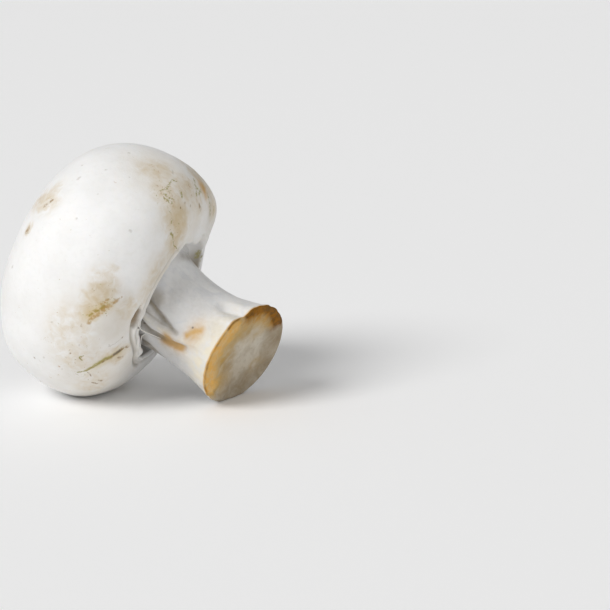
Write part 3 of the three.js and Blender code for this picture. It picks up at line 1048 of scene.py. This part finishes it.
# %% Ochre on the stem, on the cap and round the rim, and the scorched parts of the rim
OCHRE_SPOT = [(279, 7.7), (283, 7.2), (287, 6.6), (291, 5.6)]
masks["ochre"] = np.maximum.reduce(
    [
        1.3 * stripe(LOWER_GROOVE, 1.0, 7.2, 13.2, 3, 1.5),
        0.5 * stripe(LOWER_GROOVE, 1.5, 6.6, 13.4, 2, 1.5),
        stripe(OCHRE_SPOT, 1.05, 4.0, 9.0),
        0.8 * stem_mark(285, 6.6, 2.4, 1.8),
        1.1 * stem_mark(262.8, 11.4, 0.9, 1.4),
        0.8 * blot(13, 135.5, 1.7, 2.2),
        0.2 * blot(270, 124.5, 3.2, 1.0, 45),
        rim_band(220, 318, 8, 2.9, 1.3),
        0.9 * rim_band(322, 403, 8, 2.9, 1.5),
    ]
)
masks["scorch"] = np.maximum.reduce(
    [
        1.2 * rim_band(324, 412, 8, 2.4, 1.2),
        1.6 * rim_band(388, 412, 7, 2.4, 1.5),
        0.8 * rim_edge(222, 240, 8),
        0.55 * rim_edge(240, 282, 8),
        0.6 * rim_edge(282, 302, 4),
        0.85 * rim_edge(302, 320, 4),
        0.7 * rim_edge(420, 520, 10),
    ]
)
print("masks:", {name: round(float(mask.max()), 2) for name, mask in masks.items()})

# %% Keep the masks in the mesh
for name, mask in masks.items():
    layer = mesh.attributes.new(name, "FLOAT", "POINT")
    layer.data.foreach_set("value", mask.astype(np.float32))
print("layers in the mesh:", [layer.name for layer in mesh.attributes])

# %% [markdown]
# ## Strokes and specks
# Some marks are finer than the mesh: a scratch, flecks of soil, a bruise as thin as a hair. They
# are lists of places on the skin, and the shader measures how far it is from the line that joins
# them. One place alone is a speck. The first number of each mark is its size in millimetres,
# which is about half its width.

# %% The scratch, with a yellow stain beside it: a size, then places of azimuth and polar angle
YELLOW_MARKS = [
    (1.0, (242, 156.5), (240.4, 148), (237, 136.5)),
    (1.3, (267, 119), (271, 124.5), (275.5, 131)),
]
OLIVE_MARKS = [
    (0.4, (273.8, 128.4), (272.6, 127.2)),
    (0.26, (270.4, 122), (270.8, 125)),
    (0.24, (268.6, 121), (267.6, 119.4)),
    (0.26, (243.5, 163), (241.8, 157.5), (240.5, 151)),
    (0.5, (240.5, 151), (240.3, 145), (237.5, 137)),
    (0.36, (237.5, 137), (235.5, 132), (234.2, 129)),
    (0.22, (234.2, 129), (233, 122)),
    (0.14, (242, 124), (244, 121), (245, 124)),
    (0.3, (324.5, 152), (325.2, 155)),
    (0.13, (325.2, 155), (323.5, 164), (326.8, 172)),
]
print("yellow marks:", len(YELLOW_MARKS), "and olive marks:", len(OLIVE_MARKS))

# %% Flecks of soil in the stains of the upper right
FLECK_MARKS = [
    (0.2, (347.5, 121), (346, 118.4), (341.5, 119)),
    (0.24, (341.5, 119), (338.3, 121)),
    (0.18, (338.3, 121), (334.8, 118)),
    (0.36, (335, 124.4),),
    (0.3, (332.6, 125.4), (333.4, 129), (334.6, 132.3)),
    (0.2, (335.2, 127.3), (336.7, 131.7)),
    (0.26, (331.2, 132.3),),
    (0.28, (330.5, 136.1),),
    (0.2, (328.5, 144),),
    (0.45, (1.5, 130.5), (3.2, 135.5)),
    (0.36, (3.2, 135.5), (359.5, 137), (358.3, 141)),
    (0.4, (6, 138), (1.5, 140.5)),
    (0.3, (5, 126), (3.5, 129)),
    (0.4, (17.5, 141), (19.6, 148.7), (20, 153.3), (21.5, 161)),
    (0.3, (29, 150), (30.5, 158)),
    (0.3, (344.5, 131), (343, 135)),
]
print("flecks of soil:", len(FLECK_MARKS))

# %% Orange and brown bruises
ORANGE_MARKS = [
    (0.3, (272.8, 130.6), (270.4, 128.2)),
    (0.28, (268.6, 126.4), (267, 123.2)),
    (0.34, (265.6, 121.4), (263.8, 121)),
    (0.16, (281, 140.8), (278.5, 137.5)),
    (0.42, (278.5, 137.5), (275.5, 134)),
    (0.5, (275.5, 133.5), (273, 129)),
    (0.4, (272.5, 128.5), (269.5, 125.5)),
    (0.36, (268, 123), (265, 121)),
    (0.34, (277.5, 129.5), (274.5, 125.5)),
]
BROWN_MARKS = [
    (0.5, (243.6, 161.5), (242, 157), (241.4, 153.5)),
    (0.22, (240.5, 151), (238.5, 143)),
    (0.3, (243.6, 165.5), (242.4, 168.5)),
    (0.24, (237, 158.5), (235.5, 162.5)),
    (0.2, (222.5, 141), (221, 143)),
    (0.13, (232.5, 130.6), (228.5, 134)),
    (0.2, (222, 135), (219.5, 139)),
    (0.3, (302.5, 57), (306.2, 61.4)),
    (0.55, (287.8, 51.6), (289.4, 52)),
    (0.42, (358.5, 151.5), (359.8, 155.9)),
    (0.26, (343, 141),),
    (0.22, (347, 147),),
    (0.22, (338, 141.5),),
    (0.24, (10, 147),),
    (0.2, (254, 158.9),),
    (0.24, (233, 88),),
    (0.22, (245.2, 113.2),),
    (0.24, (261.6, 116.5),),
]
print("orange marks:", len(ORANGE_MARKS), "and brown marks:", len(BROWN_MARKS))

# %% Dark and grey specks
DARK_MARKS = [
    (0.36, (243, 158.8), (242.3, 156.6)),
    (0.28, (242, 155.4), (241.7, 153.6)),
    (0.36, (255.6, 178.4),),
]
GREY_MARKS = [
    (0.28, (319.5, 69.2), (320.5, 69.6)),
    (0.22, (328.5, 63.7),),
    (0.25, (302.5, 83.8),),
    (0.18, (315.8, 85.8),),
    (0.28, (328.8, 80.3),),
    (0.3, (346.5, 81.7),),
    (0.3, (266.2, 51.2), (267, 52)),
    (0.3, (309.5, 119.2),),
    (0.2, (330.5, 92.7),),
    (0.12, (254, 159), (250.5, 151), (249.8, 144.8)),
    (0.16, (251.5, 145.5), (249.6, 147)),
    (0.22, (237, 93.4),),
    (0.22, (233.8, 108.8),),
    (0.2, (242, 110.7),),
    (0.2, (251, 118.6),),
    (0.22, (257.5, 93.4),),
    (0.2, (350.5, 113.5), (352.5, 111)),
    (0.2, (12, 106),),
    (0.25, (150, 95), (152, 98)),
    (0.25, (110, 60),),
    (0.25, (80, 105),),
    (0.3, (190, 70),),
]
print("dark specks:", len(DARK_MARKS), "and grey specks:", len(GREY_MARKS))


# %% From a row of numbers to places on the finished skin
def on_skin(at, where):
    """A place on the finished skin by azimuth and along, in millimetres as it lies."""
    return Vector(laid(skin(np.array([float(where)]), np.array([float(at)])))[0]) / MM


def on_cap_skin(at, polar):
    """The same for a place on the cap, by azimuth and polar angle."""
    return on_skin(at, along_of_polar(polar))


def on_stem_skin(at, high):
    """The same for a place on the stem, by azimuth and height."""
    top = float(neck_height(np.array([float(at)]))[0])
    return on_skin(at, STEM_START + (top - high) / (top - RIM_ROUND))


def placed_marks(rows):
    return [(size, [on_cap_skin(*place) for place in places]) for size, *places in rows]


print("crown as it lies, mm:", on_skin(0, 0.0))

# %% Spots on the veil and on the stem
VEIL_SPOTS = [
    (0.55, [on_skin(54, 3.1), on_skin(62, 3.12)]),
    (0.4, [on_skin(58, 2.95), on_skin(56, 2.75)]),
    (0.4, [on_skin(66, 2.2), on_skin(70, 2.0)]),
]
STEM_SPECKS = [(0.22, [on_stem_skin(289.2, 7.5)]), (0.25, [on_stem_skin(256.5, 17.6)])]
print("spots:", len(VEIL_SPOTS) + len(STEM_SPECKS))

# %% [markdown]
# ## Materials from masks and noise
# The skin takes three materials: for the cap, the stem and the cut flesh. Each starts from
# its own white or beige, mottled by noise, and then lays the stains and the painted shade over it
# one by one. The masks say where a stain or a shade lies, and noise breaks it into mottles and
# flecks finer than the mesh. All patterns read the object's own coordinates, scaled to
# millimetres, so they stay on the mushroom from every side.

# %% Helpers that add and link shader nodes
def add(tree, kind, inputs=(), **settings):
    """Adds a node. Inputs is a dict of sockets to fill with a value or link to another socket."""
    made = tree.nodes.new(kind)
    for name, value in settings.items():
        setattr(made, name, value)
    for socket, value in dict(inputs).items():
        if isinstance(value, bpy.types.NodeSocket):
            tree.links.new(value, made.inputs[socket])
        else:
            made.inputs[socket].default_value = value
    return made


def maths(tree, operation, first, second=0.0, third=0.0):
    values = {0: first, 1: second, 2: third}
    return add(tree, "ShaderNodeMath", values, operation=operation).outputs[0]


def times(tree, first, second):
    return maths(tree, "MULTIPLY", first, second)


def held(tree, value):
    """The value kept between 0 and 1."""
    return maths(tree, "MINIMUM", maths(tree, "MAXIMUM", value, 0.0), 1.0)


def vectors(tree, operation, first, second, output=0):
    values = {0: first, 1: second}
    return add(tree, "ShaderNodeVectorMath", values, operation=operation).outputs[output]


def scaled(tree, vector, factor):
    values = {0: vector, "Scale": factor}
    return add(tree, "ShaderNodeVectorMath", values, operation="SCALE").outputs[0]


# %% Masks, noise and layers of colour
def mask_of(tree, name):
    return add(tree, "ShaderNodeAttribute", attribute_name=name).outputs["Fac"]


def noise(tree, where, size, detail=2.0, distortion=0.0, output="Fac"):
    """Noise with lumps of a size in millimetres, about 0 to 1."""
    values = {"Vector": where, "Scale": 1 / size, "Detail": detail, "Distortion": distortion}
    return add(tree, "ShaderNodeTexNoise", values).outputs[output]


def between(tree, value, low, high):
    """0 below low, 1 above high, softly."""
    values = {"Value": value, "From Min": low, "From Max": high}
    step = add(tree, "ShaderNodeMapRange", values, interpolation_type="SMOOTHSTEP")
    return step.outputs["Result"]


def layer_over(tree, factor, under, over, strength=1.0):
    """Colour over laid on colour under, by factor and as strongly as given."""
    if strength != 1:
        factor = times(tree, factor, strength)
    values = {0: factor, 6: under, 7: over}
    mixed = add(tree, "ShaderNodeMix", values, data_type="RGBA", clamp_factor=True)
    return mixed.outputs[2]


def broken_mask(tree, name, mottle, ragged=0.6):
    """A mask whose edge and strength a mottle makes uneven."""
    uneven = maths(tree, "MULTIPLY_ADD", mottle, ragged, -0.5 * ragged)
    mask = mask_of(tree, name)
    sum_of_both = maths(tree, "MULTIPLY_ADD", uneven, between(tree, mask, 0.0, 0.25), mask)
    return held(tree, sum_of_both)


print("masks that the materials can read:", ", ".join(masks))

# %% Lines and specks drawn by distance
MARK_CORE = 0.2  # how far from its line a mark is full, in shares of its size
MARK_REACH = 1.5  # where it has faded out
FAR_OFF = 9.0  # farther than any mark reaches


def near_marks(tree, where, rows):
    """1 on any of the fine marks and 0 off them. Each row is a size and a list of places."""
    nearest = FAR_OFF
    for size, places in rows:
        for start, end in zip(places, places[1:] or places):
            offset = vectors(tree, "SUBTRACT", where, start)
            run = end - start
            if run.length > 0:
                share = vectors(tree, "DOT_PRODUCT", offset, run / run.length_squared, "Value")
                foot = scaled(tree, run, held(tree, share))
                offset = vectors(tree, "SUBTRACT", offset, foot)
            distance = vectors(tree, "LENGTH", offset, (0, 0, 0), "Value")
            nearest = maths(tree, "MINIMUM", maths(tree, "DIVIDE", distance, size), nearest)
    return maths(tree, "SUBTRACT", 1.0, between(tree, nearest, MARK_CORE, MARK_REACH))


def shaken(tree, where, size, reach):
    """Places moved about by noise, so that what is drawn there has uneven edges."""
    colour = noise(tree, where, size, 2.0, output="Color")
    offset = vectors(tree, "SUBTRACT", colour, (0.5, 0.5, 0.5))
    return vectors(tree, "ADD", where, scaled(tree, offset, reach))


print("a mark is full to", MARK_CORE, "and gone at", MARK_REACH, "of its size from its line")

# %% The start and the end of every material of the skin
SINK_MM = 0.5  # how far light wanders inside the flesh
SINK_SHARE = 0.15  # how much of it does
SINK_COLOURS = (1.0, 0.8, 0.6)  # red goes farthest


def start_material(name):
    """An empty material with a Principled shader, and the place of each point in millimetres."""
    material = bpy.data.materials.new(name)
    material.use_nodes = True
    tree = material.node_tree
    shader = tree.nodes["Principled BSDF"]
    coordinates = add(tree, "ShaderNodeTexCoord").outputs["Object"]
    return material, tree, shader, scaled(tree, coordinates, 1 / MM)


def finish_material(tree, shader, colour, bump_height, bump_mm, roughness, shine=0.35):
    """Links the colour and a bump, and sets what is the same all over on the shader itself."""
    values = {"Height": bump_height, "Distance": bump_mm * MM, "Strength": 1.0}
    bump = add(tree, "ShaderNodeBump", values)
    tree.links.new(colour, shader.inputs["Base Color"])
    tree.links.new(bump.outputs[0], shader.inputs["Normal"])
    shader.inputs["Roughness"].default_value = roughness
    shader.inputs["Specular IOR Level"].default_value = shine
    shader.inputs["Subsurface Weight"].default_value = SINK_SHARE
    shader.inputs["Subsurface Radius"].default_value = SINK_COLOURS
    shader.inputs["Subsurface Scale"].default_value = SINK_MM * MM


print("light wanders in the flesh, mm:", SINK_MM)

# %% [markdown]
# ## The cap's skin
# A cap is satin, not glossy, with a fine grain that only slanting light shows. Its white is warm
# and a little mottled, and everything that touched it has left a mark: a tan bruise, olive and
# brown soil, a scratch, grey specks. They could be painted on an image, but an image is only as
# sharp as its pixels. Noise and measured lines stay sharp from close by, and the masks only have
# to say where, so the mesh is fine enough to hold them.

# %% Colours of the cap
def rgb(red, green, blue):
    return red, green, blue, 1.0


WHITE = rgb(0.87, 0.865, 0.855)
WHITE_DULL = rgb(0.77, 0.76, 0.735)
WARM = rgb(0.64, 0.56, 0.43)
TAN = rgb(0.60, 0.47, 0.275)
FLECK_OLIVE = rgb(0.34, 0.30, 0.09)
FLECK_BROWN = rgb(0.44, 0.22, 0.07)
SOIL_YELLOW = rgb(0.66, 0.56, 0.30)
SOIL_OLIVE = rgb(0.31, 0.26, 0.045)
SOIL_ORANGE = rgb(0.44, 0.26, 0.07)
SOIL_BROWN = rgb(0.30, 0.19, 0.08)
SPECK_GREY = rgb(0.42, 0.38, 0.32)
SHADE = rgb(0.275, 0.23, 0.165)
SPECK_DARK = rgb(0.12, 0.10, 0.09)
POCKET = rgb(0.26, 0.18, 0.10)
OCHRE = rgb(0.58, 0.34, 0.09)
print("white of the cap:", WHITE[:3])


# %% Mottled ground, and the broad stains over it
def mottled(tree, where, light, dull):
    """The ground colour of a skin: broad pale mottling and a finer one over it."""
    broad = between(tree, noise(tree, where, 5.0, 3.0), 0.35, 0.75)
    fine = between(tree, noise(tree, where, 0.9, 4.0), 0.45, 0.8)
    colour = layer_over(tree, broad, light, dull, 0.35)
    return layer_over(tree, fine, colour, dull, 0.3)


def stained(tree, where, colour):
    """Lays the warm, tan and flecked stains over a ground colour."""
    broad = noise(tree, where, 3.0, 4.0, 0.4)
    soft = noise(tree, where, 1.4, 4.0, 0.6)
    colour = layer_over(tree, broken_mask(tree, "warm", broad, 0.9), colour, WARM, 0.55)
    colour = layer_over(tree, broken_mask(tree, "tan", soft, 1.4), colour, TAN, 0.85)
    grains = noise(tree, where, 0.62, 3.0, 1.2)
    needed = maths(tree, "MULTIPLY_ADD", mask_of(tree, "fleck"), -0.2, 0.72)
    fleck = between(tree, maths(tree, "SUBTRACT", grains, needed), 0.0, 0.06)
    patches = between(tree, noise(tree, where, 0.9), 0.45, 0.55)
    tone = layer_over(tree, patches, FLECK_OLIVE, FLECK_BROWN)
    return layer_over(tree, fleck, colour, tone, 0.75)


print("dull white is", round(WHITE_DULL[1] / WHITE[1], 2), "as bright as white")

# %% The fine marks of the cap, from the scratch to the specks
def scratched(tree, where, colour, breaks):
    """Draws every list of fine marks over a colour. Noise frays some and breaks others up."""
    halo = near_marks(tree, shaken(tree, where, 1.2, 1.2), placed_marks(YELLOW_MARKS))
    colour = layer_over(tree, halo, colour, SOIL_YELLOW, 0.4)
    frayed = between(tree, noise(tree, where, 0.7, 4.0), 0.16, 0.44)
    crumbs = between(tree, noise(tree, where, 0.38, 3.0), 0.42, 0.54)
    shaky = shaken(tree, where, 0.5, 0.5)
    for rows, left, over, strength in [
        (OLIVE_MARKS, frayed, SOIL_OLIVE, 0.9),
        (FLECK_MARKS, crumbs, FLECK_OLIVE, 0.85),
        (ORANGE_MARKS, breaks, SOIL_ORANGE, 0.75),
        (BROWN_MARKS, breaks, SOIL_BROWN, 0.85),
    ]:
        mark = times(tree, near_marks(tree, shaky, placed_marks(rows)), left)
        colour = layer_over(tree, mark, colour, over, strength)
    grey = near_marks(tree, shaky, placed_marks(GREY_MARKS))
    return layer_over(tree, grey, colour, SPECK_GREY, 0.38)


print("the finest of the brown marks, mm:", min(size for size, *_ in BROWN_MARKS))

# %% The finish of the cap
def cap_skin():
    material, tree, shader, where = start_material("cap_skin")
    breaks = between(tree, noise(tree, where, 0.6, 3.0), 0.3, 0.56)
    colour = stained(tree, where, mottled(tree, where, WHITE, WHITE_DULL))
    colour = scratched(tree, where, colour, breaks)
    spotty = noise(tree, where, 1.3, 4.0, 0.5)
    colour = layer_over(tree, broken_mask(tree, "ochre", spotty, 1.2), colour, OCHRE)
    # painted shade in the creases, the furrow, under the veil and in a few faint shadows
    colour = layer_over(tree, mask_of(tree, "shade"), colour, SHADE, 0.9)
    spots = near_marks(tree, shaken(tree, where, 0.9, 0.5), VEIL_SPOTS)
    colour = layer_over(tree, times(tree, spots, breaks), colour, FLECK_OLIVE, 0.8)
    soft = noise(tree, where, 1.0, 3.0)
    # the pocket: its own brown, and painted shade of the hollow
    colour = layer_over(tree, broken_mask(tree, "pocket", soft, 0.5), colour, POCKET, 0.9)
    dark = near_marks(tree, where, placed_marks(DARK_MARKS))
    colour = layer_over(tree, dark, colour, SPECK_DARK, 0.8)
    grain = noise(tree, where, 0.5, 5.0)
    finish_material(tree, shader, colour, grain, bump_mm=0.05, roughness=0.58)
    print("cap_skin:", len(tree.nodes), "nodes")
    return material


# %% [markdown]
# ## The stem's skin
# The stem is a greyer white than the cap, with a touch of blue, and fibrous where the cap is
# smooth. It turns creamy towards the cut. Its colours are laid on in the same way, so the two
# finishes share their helpers and differ only in colours, masks and grain.

# %% Colours of the stem, and its finish
STEM_WHITE = rgb(0.78, 0.775, 0.765)
STEM_DULL_AND_SHADE = rgb(0.60, 0.595, 0.59)
STEM_BLUE = rgb(0.62, 0.63, 0.65)
CREAM = rgb(0.77, 0.70, 0.54)


def stem_skin():
    material, tree, shader, where = start_material("stem_skin")
    colour = mottled(tree, where, STEM_WHITE, STEM_DULL_AND_SHADE)
    # painted shade on the lower side of the stem
    colour = layer_over(tree, mask_of(tree, "dull"), colour, STEM_DULL_AND_SHADE, 0.6)
    blue = between(tree, noise(tree, where, 3.0, 3.0, 0.5), 0.5, 0.7)
    colour = layer_over(tree, blue, colour, STEM_BLUE, 0.6)
    cream = between(tree, noise(tree, where, 1.8, 3.0), 0.25, 0.6)
    cream = times(tree, mask_of(tree, "cream"), cream)
    colour = layer_over(tree, cream, colour, CREAM, 0.85)
    soft = noise(tree, where, 1.2, 4.0, 0.6)
    colour = layer_over(tree, broken_mask(tree, "ochre", soft, 0.6), colour, OCHRE, 0.9)
    # painted shade in the grooves, the hollow and the neck, with the fibre streaks
    colour = layer_over(tree, broken_mask(tree, "shade", soft, 0.5), colour, SHADE, 0.9)
    specks = near_marks(tree, where, STEM_SPECKS)
    colour = layer_over(tree, specks, colour, SPECK_DARK, 0.8)
    grain = noise(tree, where, 0.4, 5.0)
    finish_material(tree, shader, colour, grain, bump_mm=0.06, roughness=0.6)
    print("stem_skin:", len(tree.nodes), "nodes")
    return material


# %% [markdown]
# ## The cut flesh
# Cut flesh has no skin, so it hardly shines and its grain is coarser. It dries beige and brown, and
# the rim, which dries first, goes from ochre to a scorched brown. One mottling chooses between two
# ochres and between two browns, so that no band along the rim looks painted in one stroke.

# %% Colours of the cut, and its finish
CUT_BEIGE = rgb(0.48, 0.42, 0.33)
CUT_PALE = rgb(0.60, 0.55, 0.46)
CUT_BROWN = rgb(0.29, 0.215, 0.125)
CUT_TAN = rgb(0.47, 0.30, 0.085)
RIM_OCHRE = rgb(0.74, 0.43, 0.12)
RIM_TAN = rgb(0.70, 0.48, 0.22)
SCORCH = rgb(0.27, 0.105, 0.005)
SCORCH_DARK = rgb(0.085, 0.045, 0.010)


def cut_flesh():
    material, tree, shader, where = start_material("cut_flesh")
    broad = between(tree, noise(tree, where, 5.0, 2.0, 0.4), 0.35, 0.65)
    colour = layer_over(tree, broad, CUT_BEIGE, CUT_PALE)
    soft = noise(tree, where, 2.2, 4.0, 0.8)
    fine = between(tree, noise(tree, where, 0.8, 4.0), 0.5, 0.75)
    colour = layer_over(tree, fine, colour, CUT_BROWN, 0.3)
    # the brown mask: the cut's own brown patches, and painted shade on its far and lower side
    colour = layer_over(tree, broken_mask(tree, "brown", soft, 1.0), colour, CUT_BROWN, 0.9)
    colour = layer_over(tree, broken_mask(tree, "tan", soft, 1.0), colour, CUT_TAN, 0.9)
    patches = between(tree, noise(tree, where, 1.2, 4.0, 0.5), 0.4, 0.62)
    ochre = layer_over(tree, patches, RIM_OCHRE, RIM_TAN)
    colour = layer_over(tree, broken_mask(tree, "ochre", soft, 1.1), colour, ochre)
    burnt = layer_over(tree, patches, SCORCH, SCORCH_DARK, 0.6)
    colour = layer_over(tree, broken_mask(tree, "scorch", soft, 1.2), colour, burnt, 0.95)
    grain = noise(tree, where, 0.45, 5.0)
    finish_material(tree, shader, colour, grain, bump_mm=0.12, roughness=0.6, shine=0.05)
    print("cut_flesh:", len(tree.nodes), "nodes")
    return material


# %% Give each stretch of the skin its material
for material in (cap_skin(), stem_skin(), cut_flesh()):
    mesh.materials.append(material)
corner_points = np.zeros(len(mesh.loops), dtype=int)
mesh.loops.foreach_get("vertex_index", corner_points)
starts = np.zeros(len(mesh.polygons), dtype=int)
mesh.polygons.foreach_get("loop_start", starts)
lowest = np.minimum.reduceat(along[corner_points], starts)
STEM_SKIN_START = RECESS_START + 0.6  # the stem's skin reaches up into the recess
CUT_FLESH_START = RIM_START + 0.1
kind = (lowest > STEM_SKIN_START).astype(int) + (lowest >= CUT_FLESH_START)
mesh.polygons.foreach_set("material_index", kind.astype(np.int32))
mesh.update()

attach(mushroom, "root")
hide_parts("mushroom")
print("faces of cap, stem and cut:", np.bincount(kind))

# %% [markdown]
# ## Threads of the veil
# Where the veil tore, a few threads still cross from the lip to the stem. They are thinner than
# the faces of the skin, so each is a piece of its own: a curve with a round section, thin at both
# ends, that is made into a mesh.

# %% What a thread is made of
thread_white = bpy.data.materials.new("thread_white")
thread_white.use_nodes = True
thread_shader = thread_white.node_tree.nodes["Principled BSDF"]
thread_shader.inputs["Base Color"].default_value = rgb(0.84, 0.82, 0.77)
thread_shader.inputs["Roughness"].default_value = 0.6
print("threads take the material", thread_white.name)


# %% A thread through a few places
THREAD_END = 0.5  # how thick the ends are, as a share of the middle


def thread(name, places, thickness):
    """A thread through places in millimetres, thickest in the middle."""
    curve = bpy.data.curves.new(name, "CURVE")
    curve.dimensions = "3D"
    curve.bevel_depth = thickness / 2 * MM
    curve.bevel_resolution = 2
    curve.use_fill_caps = True
    line = curve.splines.new("NURBS")
    line.points.add(len(places) - 1)
    line.order_u = 3
    line.use_endpoint_u = True
    line.resolution_u = 8
    for number, (point, place) in enumerate(zip(line.points, places)):
        point.co = (*(place * MM), 1)
        point.radius = THREAD_END if number in (0, len(places) - 1) else 1
    made = bpy.data.objects.new(name, curve)
    bpy.context.collection.objects.link(made)
    bpy.context.view_layer.objects.active = made
    bpy.ops.object.select_all(action="DESELECT")
    made.select_set(True)
    bpy.ops.object.convert(target="MESH")
    made.data.materials.clear()
    made.data.materials.append(thread_white)
    bpy.ops.object.shade_smooth()
    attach(made, "root")
    return made


# %% Three threads between the lip and the stem
clear_of_skin = Vector((0.1, -0.2, 0.0))
threads = [
    thread("thread_along_groove", [
        on_skin(258, 1.93),
        on_skin(254, 1.97) + clear_of_skin,
        on_stem_skin(249.5, 16.8) + clear_of_skin,
        on_stem_skin(249.8, 15.0) + clear_of_skin,
        on_stem_skin(251.4, 13.2),
    ], 0.2),
    thread("thread_to_hollow", [
        on_stem_skin(247, 16.4),
        on_stem_skin(243, 16.9) + clear_of_skin,
        on_stem_skin(236, 17.4) + clear_of_skin * 2,
        on_skin(228, 2.1),
    ], 0.24),
    thread("thread_short", [
        on_skin(262, 1.88),
        on_skin(259, 1.9) + clear_of_skin,
        on_skin(255, 1.96) + clear_of_skin,
        on_stem_skin(252, 17.6),
    ], 0.16),
]
print("threads:", [len(made.data.polygons) for made in threads])

# %% [markdown]
# ## The table, the light and the camera
# A white thing on a white table needs soft light with a direction. A wide, strong light from the
# upper left, in front, gives the bright side. Two weak ones, from low in front and from the right,
# keep the stem and the cut from going dark, and the pale surroundings fill the rest. The right
# side stays in a soft shade, which shows how round the cap is.

# %% The table
TABLE_RADIUS = 3  # metres
TABLE_GAP = 2e-5  # just under the mushroom, so that the two don't flicker where they touch
bpy.ops.mesh.primitive_circle_add(
    vertices=64, radius=TABLE_RADIUS, fill_type="NGON", location=(0, 0, -TABLE_GAP)
)
floor = bpy.context.object
floor.name = "table"
table_white = bpy.data.materials.new("table_white")
table_white.use_nodes = True
table_shader = table_white.node_tree.nodes["Principled BSDF"]
table_shader.inputs["Base Color"].default_value = rgb(0.97, 0.97, 0.97)
table_shader.inputs["Roughness"].default_value = 0.9
floor.data.materials.append(table_white)
print("table, m:", 2 * TABLE_RADIUS, "across")

# %% The camera
LENS = 100
SENSOR = 36
CAMERA_AZIMUTH = math.radians(20.1)
CAMERA_ELEVATION = math.radians(12)
CAMERA_DISTANCE = 0.3203
CAMERA_TARGET = Vector((0.03027, 0.00757, 0.01799))  # to the right of the mushroom

right = Vector((math.cos(CAMERA_AZIMUTH), math.sin(CAMERA_AZIMUTH), 0))
level = Vector((right.y, -right.x, 0))
back = level * math.cos(CAMERA_ELEVATION) + Vector((0, 0, math.sin(CAMERA_ELEVATION)))
camera = bpy.data.objects.new("camera", bpy.data.cameras.new("camera"))
camera.data.lens = LENS
camera.data.sensor_width = SENSOR
camera.data.clip_start = 0.01
camera.location = CAMERA_TARGET + back * CAMERA_DISTANCE
camera.rotation_mode = "QUATERNION"
camera.rotation_quaternion = back.to_track_quat("Z", "Y")
bpy.context.collection.objects.link(camera)
bpy.context.scene.camera = camera
print("camera, m:", camera.location)


# %% The lamps and the surroundings
LAMPS = [  # name, direction towards the right and upwards, strength, spread
    ("key", -50, 40, 2.05, 30),
    ("front_fill", 20, 14, 0.5, 60),
    ("side_fill", 90, 40, 0.25, 60),
]
ROOM_LIGHT = 0.32


def soft_light(name, toward_right, up, strength, spread):
    """A wide soft light from far off, its direction in degrees as seen from the camera."""
    light = bpy.data.lights.new(name, "SUN")
    light.energy = strength
    light.angle = math.radians(spread)
    turn, rise = math.radians(toward_right), math.radians(up)
    along_floor = right * math.sin(turn) + level * math.cos(turn)
    direction = along_floor * math.cos(rise) + Vector((0, 0, math.sin(rise)))
    placed = bpy.data.objects.new(name, light)
    placed.rotation_mode = "QUATERNION"
    placed.rotation_quaternion = direction.to_track_quat("Z", "Y")
    bpy.context.collection.objects.link(placed)


for lamp in LAMPS:
    soft_light(*lamp)
world = bpy.data.worlds.new("pale_room")
world.use_nodes = True
world.node_tree.nodes["Background"].inputs["Color"].default_value = rgb(1, 1, 1)
world.node_tree.nodes["Background"].inputs["Strength"].default_value = ROOM_LIGHT
bpy.context.scene.world = world
bpy.context.scene.view_settings.view_transform = "Standard"
print("lights:", [light.name for light in bpy.data.lights])
